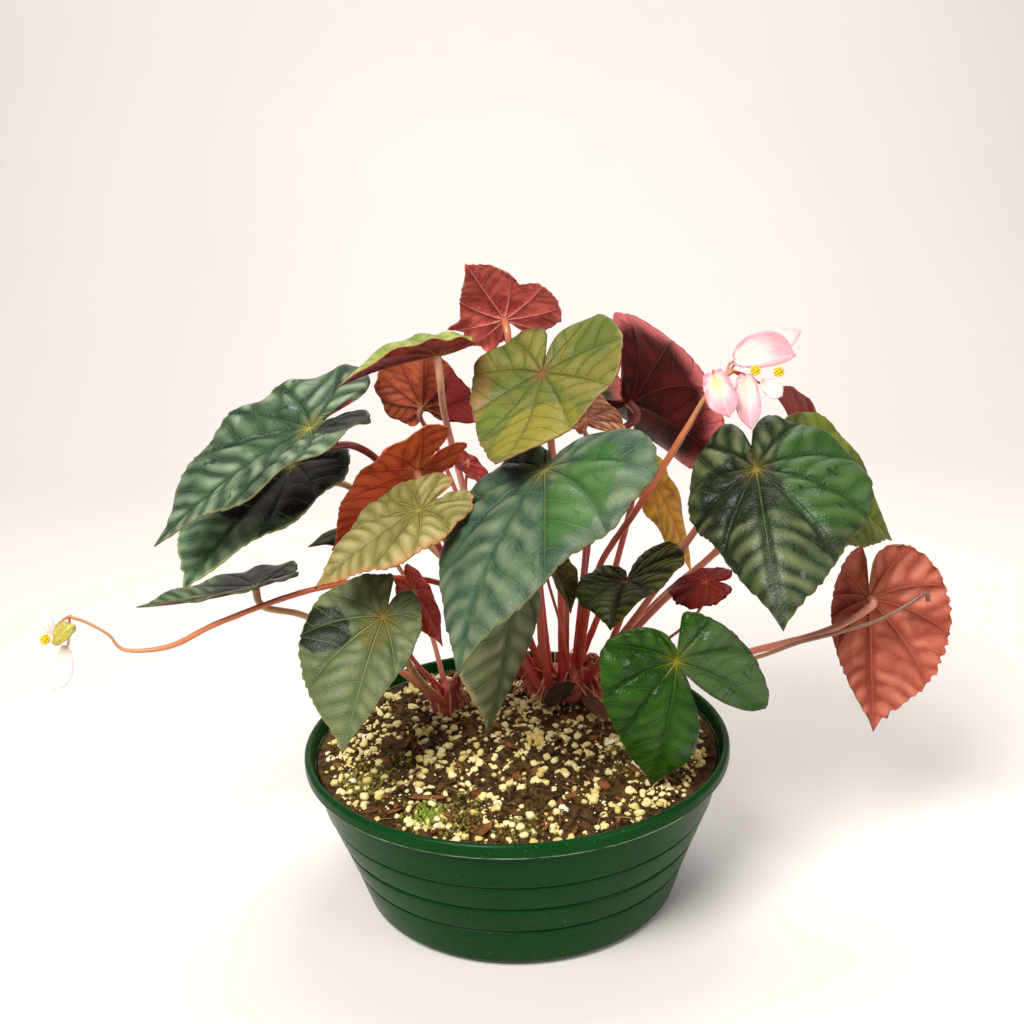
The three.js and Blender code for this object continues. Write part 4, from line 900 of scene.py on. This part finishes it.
def strandOf(make):
    # a dried strand that leans out over the mix
    wide, deep, high = make["size"]
    turn, rise = chance.uniform(0, 2 * pi), chance.uniform(2, 12)
    reach, droop = chance.uniform(0.75, 1.05), chance.uniform(1.05, 1.45)
    swing = chance.uniform(-0.5, 0.5)
    low = crownLevels["strand"]
    stops = ((reach * 0.7, 0, low + rise), (reach, 0.4, low + 3 + rise), (droop, 0.8, low + 0.4 * rise),
             (droop * 1.06, 1.2, low - 1))
    points = [(make["x"] + wide * part * cos(turn + lag * swing),
               make["y"] + deep * part * sin(turn + lag * swing), z) for part, lag, z in stops]
    thin = chance.uniform(0.3, 0.7)
    return tube(wayOf(points, 1.2), lambda share, turned: thin * (1.1 - 0.6 * share), 7)[:2]


for name, make in crownMake.items():
    wide, deep, high = make["size"]
    knobs = [lump((make["x"], make["y"], crownLevels["base"]), (wide, deep, high + 6), 3, 0.16, 4)]
    roots = [leaf["path"][0] for leaf in leaves if crownOf(leaf["path"][0]) == name]
    for i, (x, y, z) in enumerate(roots):
        knobs.append(lump((x, y, crownLevels["foot"]), (4.2, 3.8, 7 + 2 * chance.random()), i, 0.25))
    scales = [scaleOf(make, i) for i in range(make["scales"])]
    strands = [strandOf(make) for i in range(make["strands"])]
    for end, shapes, skin in (("_base", knobs, crownSkin), ("_scales", scales, scaleSkin),
                              ("_strands", strands, strandSkin)):
        makeMany(name + end, shapes, skin, name)
print("crowns made")

potMake = dict(
    sides=180, drainCount=6, drainRadius=4.5, drainCircle=58,
    profile=((71, 0), (75.8, 2.6), (81.8, 21.6), (80.9, 22.4), (82.6, 23.4), (86.9, 35.4), (86.0, 36.8),
             (88.0, 38.0), (92.4, 50.0), (91.7, 50.9), (93.5, 52.0), (98.3, 70.2), (101.2, 70.4),
             (101.6, 71.4), (101.6, 75.6), (100.6, 77), (98.8, 76.8), (98.0, 75.0), (96.2, 70), (72.6, 2.4)),
    grooves=(22.5, 36.9, 51.0, 70.2), rounding=1.4, base=tint(5, 50, 14), pale=tint(16, 72, 26),
    # dark is the painted shade laid in the grooves
    dark=tint(2, 16, 5), scuffAndHighlight=tint(132, 156, 120), dust=tint(52, 70, 34))


def rounded(profile, rounding, steps=5):
    # the profile with each inner corner turned into a short arc
    points = [Vector(profile[0])]
    for a, b, c in zip(profile, profile[1:], profile[2:]):
        a, b, c = Vector(a), Vector(b), Vector(c)
        reach = min(rounding, 0.38 * (b - a).length, 0.38 * (c - b).length)
        first, last = b + (a - b).normalized() * reach, b + (c - b).normalized() * reach
        for i in range(steps + 1):
            t = i / steps
            points.append(first * (1 - t) ** 2 + b * 2 * t * (1 - t) + last * t * t)
    return points + [Vector(profile[-1])]


def lathe(profile, sides):
    turns = [2 * pi * k / sides for k in range(sides)]
    vertices = [(*polar(r, turn), z) for r, z in profile for turn in turns]
    ends = [tuple(range(sides - 1, -1, -1)), tuple(range((len(profile) - 1) * sides, len(profile) * sides))]
    return vertices, ringFaces(len(profile), sides) + ends


def potPaint():
    look = potMake
    paint = Paint("green pot plastic")
    where = paint.place()
    height = paint.split(where)[2] * 1000
    cloud = paint.noise(where, 14, 4, 0.6, 0.3)
    fine = paint.noise(where, 900, 3)
    scratch = paint.noise(paint.stretch(where, (1, 1, 22)), 70, 5, 0.7)
    drip = paint.noise(paint.stretch(where, (1, 1, 0.12)), 60, 4, 0.65, 0.2)
    # painted shade in the grooves between the steps
    grooveShade = 0.0
    for level in look["grooves"]:
        grooveShade = (1 - paint.band(((height - level) ** 2.0) ** 0.5, 0.1, 0.9)).over(grooveShade)
    # pale marks along the lower edge of the rim, partly real scuffs and partly a painted highlight on that
    # edge
    lip = paint.band(height, 70.6, 70.9) * (1 - paint.band(height, 71.1, 71.6))
    dusty = paint.band(drip, 0.58, 0.75) * 0.22 * (1 - paint.band(height, 40, 70))
    colour = paint.layers(
        look["base"], (paint.band(cloud, 0.35, 0.7) * 0.25, look["pale"]), (grooveShade * 0.75, look["dark"]),
        (lip * paint.band(scratch, 0.42, 0.55), look["scuffAndHighlight"]),
        (paint.band(scratch, 0.6, 0.72) * 0.35, look["pale"]), (dusty, look["dust"]),
        (paint.band(fine, 0.66, 0.74) * 0.3, look["scuffAndHighlight"]))
    rough = 0.26 + 0.14 * paint.band(scratch, 0.4, 0.7) + 0.16 * (cloud - 0.5) + 0.2 * grooveShade
    return paint.surface(color=colour, roughness=rough, specular=0.07,
                         normal=paint.bump(fine * 0.5 + scratch, 0.12, 0.2))


vertices, faces = lathe(rounded(potMake["profile"], potMake["rounding"]), potMake["sides"])
pot = makePiece("pot_shell", vertices, faces, potPaint(), slotOf["pot"], "pot")
drill, drillFaces = lathe([(potMake["drainRadius"], -4), (potMake["drainRadius"], 6)], 32)
drains = []
for i in range(potMake["drainCount"]):
    x0, y0 = polar(potMake["drainCircle"], 2 * pi * i / potMake["drainCount"])
    drains.append(([(x0 + x, y0 + y, z) for x, y, z in drill], drillFaces))
vertices, faces, owner = gather(drains)
cutter = makePiece("drain_cutter", vertices, faces, pot.data.materials[0], slotOf["pot"])
cut = pot.modifiers.new("drains", "BOOLEAN")
cut.object = cutter
cut.solver = "EXACT"
bpy.context.view_layer.update()
shaped = bpy.data.meshes.new_from_object(pot.evaluated_get(bpy.context.evaluated_depsgraph_get()))
pot.modifiers.clear()
pot.data = shaped
bpy.data.objects.remove(cutter)
pot.data.set_sharp_from_angle(angle=radians(50))
print("pot made")

soilMake = dict(paintedSheen=79, edge=71, limit=96, clodHeight=1.7, clodSpan=13, reach=95.8, bottom=2.7,
                bottomReach=72.2, rings=110, sides=300, largeGrains=42, largeReach=88, largeTurn=2.4,
                grains=2300, crumbs=2000, chips=110, threads=150, threadReach=93, moss=1100, mossReach=91)
chance = random.Random(71)


def soilAt(x, y):
    # the clods of the solid, with finer ones on them
    r = hypot(x, y)
    share = min(1, r / soilMake["limit"])
    flat = soilMake["paintedSheen"] - (soilMake["paintedSheen"] - soilMake["edge"]) * share * share
    turn = 2 * pi / soilMake["clodSpan"]
    ripple = (sin(turn * x + 1.4 * sin(0.37 * turn * y))
              * cos(0.9 * turn * y + 1.2 * sin(0.3 * turn * x)))
    fade = max(0, min(1, 0.15 + (soilMake["limit"] - r) / 8))
    clods = noise.fractal(Vector((x / 7, y / 7, 1.3)), 0.9, 2, 4) * 0.9
    crumbs = noise.noise(Vector((x / 2.2, y / 2.2, 7))) * 0.6
    return flat + (soilMake["clodHeight"] * ripple + clods + crumbs) * fade


def soilBody():
    vertices = [(0, 0, soilAt(0, 0))]
    rings, sides = soilMake["rings"], soilMake["sides"]
    levels = [(soilMake["reach"] * i / rings, None) for i in range(1, rings + 1)]
    levels += [(soilMake["reach"] - 3, 63), (soilMake["bottomReach"] - 0.5, soilMake["bottom"])]
    for r, z in levels:
        for k in range(sides):
            x, y = polar(r, 2 * pi * k / sides)
            vertices.append((x, y, soilAt(x, y) if z is None else z))
    faces = [(a + 1, d + 1, c + 1, b + 1) for a, b, c, d in ringFaces(len(levels), sides)]
    faces += [(0, 1 + k, 1 + (k + 1) % sides) for k in range(sides)]
    faces.append(tuple(range(len(vertices) - 1, len(vertices) - 1 - sides, -1)))
    return vertices, faces


def earthPaint(name, darkest, middle, palest, scale=1.0):
    return specklePaint(name, (darkest, middle, palest), (220 * scale, 5, 0.65, 0.4), (1300 * scale, 4, 0.7),
                        (0.35, 0.62, 0.55, 0.72, 0.7), (0.72, 0.25), (0.9, 0.7), specular=0.1)


def grainPaint():
    paint = Paint("perlite grain")
    where = paint.place()
    each = paint.amount("each")
    pore = paint.cells(where, 1500)
    stain = paint.noise(where, 420, 4, 0.6)
    colour = paint.layers(
        tint(234, 222, 160), (paint.band(each, 0.0, 1.0), tint(206, 182, 98)),
        (paint.band(each, 0.92, 0.96), tint(238, 232, 208)),
        (paint.band(stain, 0.55, 0.75) * 0.6, tint(150, 128, 80)),
        ((1 - paint.band(pore, 0.0, 0.12)) * 0.35, tint(170, 150, 100)))
    return paint.surface(color=colour, roughness=0.75 + 0.15 * (stain - 0.5),
                         normal=paint.bump(pore + stain, 0.6, 0.4))


def soilSpot(reach=92, drift=0):
    # a place clear of the crowns; drift gathers the places in patches
    while True:
        x, y = polar(reach * sqrt(chance.random()), chance.uniform(0, 2 * pi))
        wide, narrow = noise.noise(Vector((x / 17, y / 17, 5))), noise.noise(Vector((x / 6, y / 6, 2)))
        if chance.random() < drift * (0.5 - 1.1 * wide - 0.5 * narrow):
            continue
        if clearOfCrowns(x, y, 0.8):
            return x, y


def scatter(count, low, high, squash, seed, reach=92, finer=2, roughness=0.28, sink=0.2, drift=0):
    shapes = []
    for i in range(count):
        x, y = soilSpot(reach, drift)
        size = low + (high - low) * chance.random() ** 2.2
        shapes.append(lump((x, y, soilAt(x, y) + size * sink),
                           (size, size * chance.uniform(0.6, 1), size * squash), seed + i, roughness, finer,
                           (chance.uniform(-0.5, 0.5), chance.uniform(-0.5, 0.5), chance.uniform(0, 6.28))))
    return shapes


vertices, faces = soilBody()
earth = earthPaint("potting mix", tint(28, 19, 10), tint(84, 60, 32), tint(156, 120, 66))
makePiece("soil_body", vertices, faces, earth, slotOf["soil"], "soil")
crumbs = earthPaint("soil crumbs", tint(18, 12, 6), tint(84, 58, 30), tint(152, 114, 60), 1.5)
makeMany("soil_crumbs", scatter(soilMake["crumbs"], 0.5, 1.7, 0.75, 300, roughness=0.35, sink=0.1), crumbs,
         "soil")


def largeGrains():
    # the large grains, half sunk where the solid has them
    shapes = []
    for i in range(soilMake["largeGrains"]):
        turn = soilMake["largeTurn"] * i
        x, y = polar(soilMake["largeReach"] * sqrt((i + 0.5) / soilMake["largeGrains"]), turn)
        size = 0.8 * (2.4 + 1.9 * ((0.618 * i) % 1))
        if clearOfCrowns(x, y, 1, size + 1.5):
            shapes.append(lump((x, y, soilAt(x, y)), (size, 0.85 * size, 0.66 * size), i, 0.3, 3,
                               (0, 0, turn)))
    return shapes


small = scatter(soilMake["grains"], 0.5, 2.6, 0.7, 900, roughness=0.3, sink=0.05, drift=0.9)
large = largeGrains()
grains, owner = makeMany("perlite_grains", large + small, grainPaint(), "soil")
luck = [0.35] * len(large) + [chance.random() for grain in small]
store(grains, "each", [luck[i] for i in owner])


def chip(spot, size, turn, seed):
    # a flat splinter of bark
    vertices, faces = lump((0, 0, 0), size, seed, 0.25, 3, coarse=2.2)
    spin = Euler(turn).to_matrix()
    return [tuple(spin @ Vector(v) + Vector(spot)) for v in vertices], faces


# the chips that stand out: place, half sizes, heading in degrees
bigChips = (
    ((-18, -55), (7.5, 2.8, 0.8), 80), ((-14, -81), (6, 2.2, 0.8), 60), ((-40, -58), (9, 1.6, 0.6), -14),
    ((8, -40), (5, 2.4, 0.8), 70), ((38, -52), (5, 2.6, 0.8), 110), ((62, -38), (4.5, 2, 0.7), 30),
    ((-62, -20), (5, 2.4, 0.8), 20), ((-4, -20), (5.5, 2, 0.8), 140), ((-50, -2), (6, 2, 0.7), 100),
)
chips = [chip((x, y, soilAt(x, y) + 0.9), size, (0.12, -0.1, radians(heading)), i)
         for i, ((x, y), size, heading) in enumerate(bigChips)]
for i in range(soilMake["chips"]):
    x, y = soilSpot()
    size = (chance.uniform(1.8, 4.4), chance.uniform(0.8, 1.7), chance.uniform(0.3, 0.6))
    turn = (chance.uniform(-0.4, 0.4), chance.uniform(-0.4, 0.4), chance.uniform(0, 6.28))
    chips.append(chip((x, y, soilAt(x, y) + 0.6), size, turn, 40 + i))
bark = earthPaint("bark", tint(74, 42, 22), tint(128, 80, 42), tint(168, 118, 70), 0.8)
makeMany("bark_chips", chips, bark, "soil")

threads = []
for i in range(soilMake["threads"]):
    x, y = soilSpot()
    turn = chance.uniform(0, 6.28)
    length, sway = chance.uniform(3, 11), chance.uniform(-1.2, 1.2)
    points = []
    for t in (0, 0.33, 0.66, 1):
        px = x + length * (t - 0.5) * cos(turn + sway * t)
        py = y + length * (t - 0.5) * sin(turn + sway * t)
        reach = hypot(px, py)
        if reach > soilMake["threadReach"]:
            px, py = px * soilMake["threadReach"] / reach, py * soilMake["threadReach"] / reach
        points.append((px, py, soilAt(px, py) + 0.7 + 1.2 * sin(pi * t) * chance.random()))
    thin = chance.uniform(0.16, 0.4)
    threads.append(tube(wayOf(points, 1.1), lambda share, turned, thin=thin: thin, 6)[:2])
dryRoot = earthPaint("dry root", tint(98, 70, 44), tint(150, 116, 76), tint(196, 168, 120))
makeMany("loose_roots", threads, dryRoot, "soil")

# the tufts of moss: place, reach and share of all the sprigs
mossTufts = (((-70, -36), 15, 0.34), ((-32, -71), 18, 0.24), ((-39, -68), 6, 0.22), ((2, -84), 12, 0.1),
             ((56, -30), 16, 0.1))


def mossPaint():
    paint = Paint("moss")
    where = paint.place()
    each = paint.amount("each")
    leafy = paint.noise(where, 1500, 3)
    colour = paint.layers(tint(112, 94, 32), (each, tint(136, 142, 38)),
                          (paint.band(each, 0.75, 0.95), tint(116, 170, 30)),
                          (paint.band(leafy, 0.45, 0.65) * 0.6, tint(58, 48, 20)))
    return paint.surface(color=colour, roughness=0.7 + 0.2 * (leafy - 0.5),
                         normal=paint.bump(leafy, 0.8, 0.4))


sprigs, luck = [], []
for (x0, y0), reach, share in mossTufts:
    for i in range(round(share * soilMake["moss"])):
        x, y = x0 + chance.gauss(0, 0.6) * reach, y0 + chance.gauss(0, 0.5) * reach
        if hypot(x, y) > soilMake["mossReach"]:
            continue
        size = chance.uniform(0.3, 0.85)
        sprigs.append(lump((x, y, soilAt(x, y) + size * 0.5), (size, size, size * 1.2), i, 0.9, 2, coarse=3))
        luck.append(min(1, chance.uniform(0, 0.72) + (0.4 if reach < 8 else 0)))
moss, owner = makeMany("moss_sprigs", sprigs, mossPaint(), "soil")
store(moss, "each", [luck[i] for i in owner])
print("soil made")


def stamenPaint():
    paint = Paint("stamen")
    where = paint.place()
    fine = paint.noise(where, 1600, 3)
    each = paint.amount("each")
    colour = paint.layers(tint(222, 184, 16), (each, tint(240, 212, 40)),
                          (paint.band(fine, 0.55, 0.7) * 0.5, tint(180, 122, 16)))
    return paint.surface(color=colour, roughness=0.5 + 0.2 * (fine - 0.5), normal=paint.bump(fine, 0.5, 0.2))


stamenMake = dict(count=34, turn=2.39996, anther=(0.42, 0.42, 0.6), inset=0.62, body=0.52)
stamenSkin = stamenPaint()
for name in ("bloom_right_stamens_near", "bloom_right_stamens_far", "bloom_left_stamens"):
    low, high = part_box(name)
    middle = (Vector(low) + Vector(high)) / 2 / mm
    size = (high[0] - low[0]) / 2 / mm
    shapes = [lump(tuple(middle), (size * stamenMake["body"],) * 3, 5, 0.2)]
    for i in range(stamenMake["count"]):
        z = 1 - 2 * (i + 0.5) / stamenMake["count"]
        way = Vector((*polar(sqrt(1 - z * z), i * stamenMake["turn"]), z))
        tip = middle + way * (size - stamenMake["inset"])
        spin = way.to_track_quat("Z", "Y").to_euler()
        shapes.append(lump(tuple(tip), stamenMake["anther"], i, 0.15, 2, tuple(spin)))
    bunch, owner = makeMany(name + "_bunch", shapes, stamenSkin, name)
    store(bunch, "each", [(i * 0.37) % 1 for i in owner])

ovaryMake = dict(centre=(-207, -10.2, 140), tilt=-42, size=(7.4, 2.8, 2.8), wings=(6, 5, 5), wingLength=14,
                 wingHalf=0.42)


def ovaryPaint():
    paint = Paint("seed case")
    where = paint.place()
    fine = paint.noise(where, 900, 4)
    vein = paint.noise(paint.stretch(where, (0.15, 1, 1)), 1400, 3)
    colour = paint.layers(tint(160, 150, 56), (paint.band(fine, 0.35, 0.65), tint(190, 178, 84)),
                          (paint.band(vein, 0.5, 0.7) * 0.5, tint(140, 96, 40)))
    return paint.surface(color=colour, roughness=0.42 + 0.2 * (fine - 0.5), through=0.1,
                         normal=paint.bump(fine + vein, 0.5, 0.25))


def wingShape(turn, height):
    # a thin wing along the seed case, highest near one end
    rows, columns = 14, 6
    spin = Matrix.Rotation(turn, 3, "X")
    vertices = []
    for side in (ovaryMake["wingHalf"], -ovaryMake["wingHalf"]):
        for i in range(rows + 1):
            t = i / rows
            x = ovaryMake["wingLength"] * (t - 0.5)
            top = height * (sin(pi * t ** 1.5) ** 0.6 * 0.9 + 0.06)
            for k in range(columns):
                s = k / (columns - 1)
                ripple = 0.3 * sin(7 * t + 3 * s) * s
                vertices.append(tuple(spin @ Vector((x, side * (1 - 0.6 * s) + ripple, top * s))))
    return vertices, sheetFaces(rows, columns, flipped=True)


shapes = [lump((0, 0, 0), ovaryMake["size"], 2, 0.12, 4)]
shapes += [wingShape(2 * pi * i / 3, height) for i, height in enumerate(ovaryMake["wings"])]
vertices, faces, owner = gather(shapes)
lean = Matrix.Rotation(radians(ovaryMake["tilt"]), 3, "Y")
vertices = [tuple(lean @ Vector(vertex) + Vector(ovaryMake["centre"])) for vertex in vertices]
makePiece("seed_case", vertices, faces, ovaryPaint(), slotOf["bloom_left_ovary"], "bloom_left_ovary")
print("blooms made")

# the camera stands where the photograph was taken from
cameraMake = dict(place=(0.0015, -0.56879, 0.36245), down=17, tilt=-2, lens=45.70, film=36)
down, tilt = radians(cameraMake["down"]), radians(cameraMake["tilt"])
ahead = Vector((0, cos(down), -sin(down)))
level = Vector((1, 0, 0))
upright = level.cross(ahead)
right = level * cos(tilt) + upright * sin(tilt)
up = upright * cos(tilt) - level * sin(tilt)
camera = bpy.data.objects.new("camera", bpy.data.cameras.new("camera"))
turned = Matrix((right, up, -ahead)).transposed().to_4x4()
camera.matrix_world = Matrix.Translation(cameraMake["place"]) @ turned
camera.data.lens = cameraMake["lens"]
camera.data.sensor_width = cameraMake["film"]
bpy.context.collection.objects.link(camera)
bpy.context.scene.camera = camera


def lamp(name, place, aim, width, power, colour):
    light = bpy.data.objects.new(name, bpy.data.lights.new(name, "AREA"))
    light.data.size = width
    light.data.energy = power
    light.data.color = colour
    light.location = place
    light.rotation_euler = (Vector(aim) - Vector(place)).to_track_quat("-Z", "Y").to_euler()
    bpy.context.collection.objects.link(light)


lamp("key", (-0.55, -0.95, 1.3), (0, 0, 0.15), 0.7, 40, (1, 0.98, 0.95))
lamp("fill", (1.2, -0.9, 0.8), (0, 0, 0.15), 0.8, 9, (1, 0.99, 0.97))
lamp("top", (0.2, 0.6, 1.4), (0, 0, 0.15), 0.9, 14, (1, 0.99, 0.98))

floorMake = dict(width=3.6, front=-1.8, back=0.75, bend=0.5, height=1.8, color=tint(216, 211, 208))


def floorPaint():
    paint = Paint("pale floor")
    cloud = paint.noise(paint.place(), 2.5, 4)
    darker = tuple(part * 0.93 for part in floorMake["color"][:3]) + (1,)
    return paint.surface(color=paint.mix(cloud, floorMake["color"], darker), roughness=0.7)


def makeFloor():
    half, bend = floorMake["width"], floorMake["bend"]
    line = [(floorMake["front"], 0), (floorMake["back"], 0)]
    for i in range(1, 13):
        turn = pi / 2 * i / 12
        line.append((floorMake["back"] + bend * sin(turn), bend * (1 - cos(turn))))
    line.append((floorMake["back"] + bend, floorMake["height"]))
    vertices = [(side * half, y, z) for y, z in line for side in (-1, 1)]
    faces = [(2 * i, 2 * i + 1, 2 * i + 3, 2 * i + 2) for i in range(len(line) - 1)]
    mesh = bpy.data.meshes.new("floor")
    mesh.from_pydata(vertices, [], faces)
    mesh.shade_smooth()
    mesh.materials.append(floorPaint())
    floor = bpy.data.objects.new("floor", mesh)
    bpy.context.collection.objects.link(floor)


makeFloor()
world = bpy.data.worlds.new("studio")
world.use_nodes = True
world.node_tree.nodes["Background"].inputs["Color"].default_value = (1, 0.98, 0.96, 1)
world.node_tree.nodes["Background"].inputs["Strength"].default_value = 0.22
bpy.context.scene.world = world
bpy.context.scene.view_settings.view_transform = "Standard"

print("scene complete")
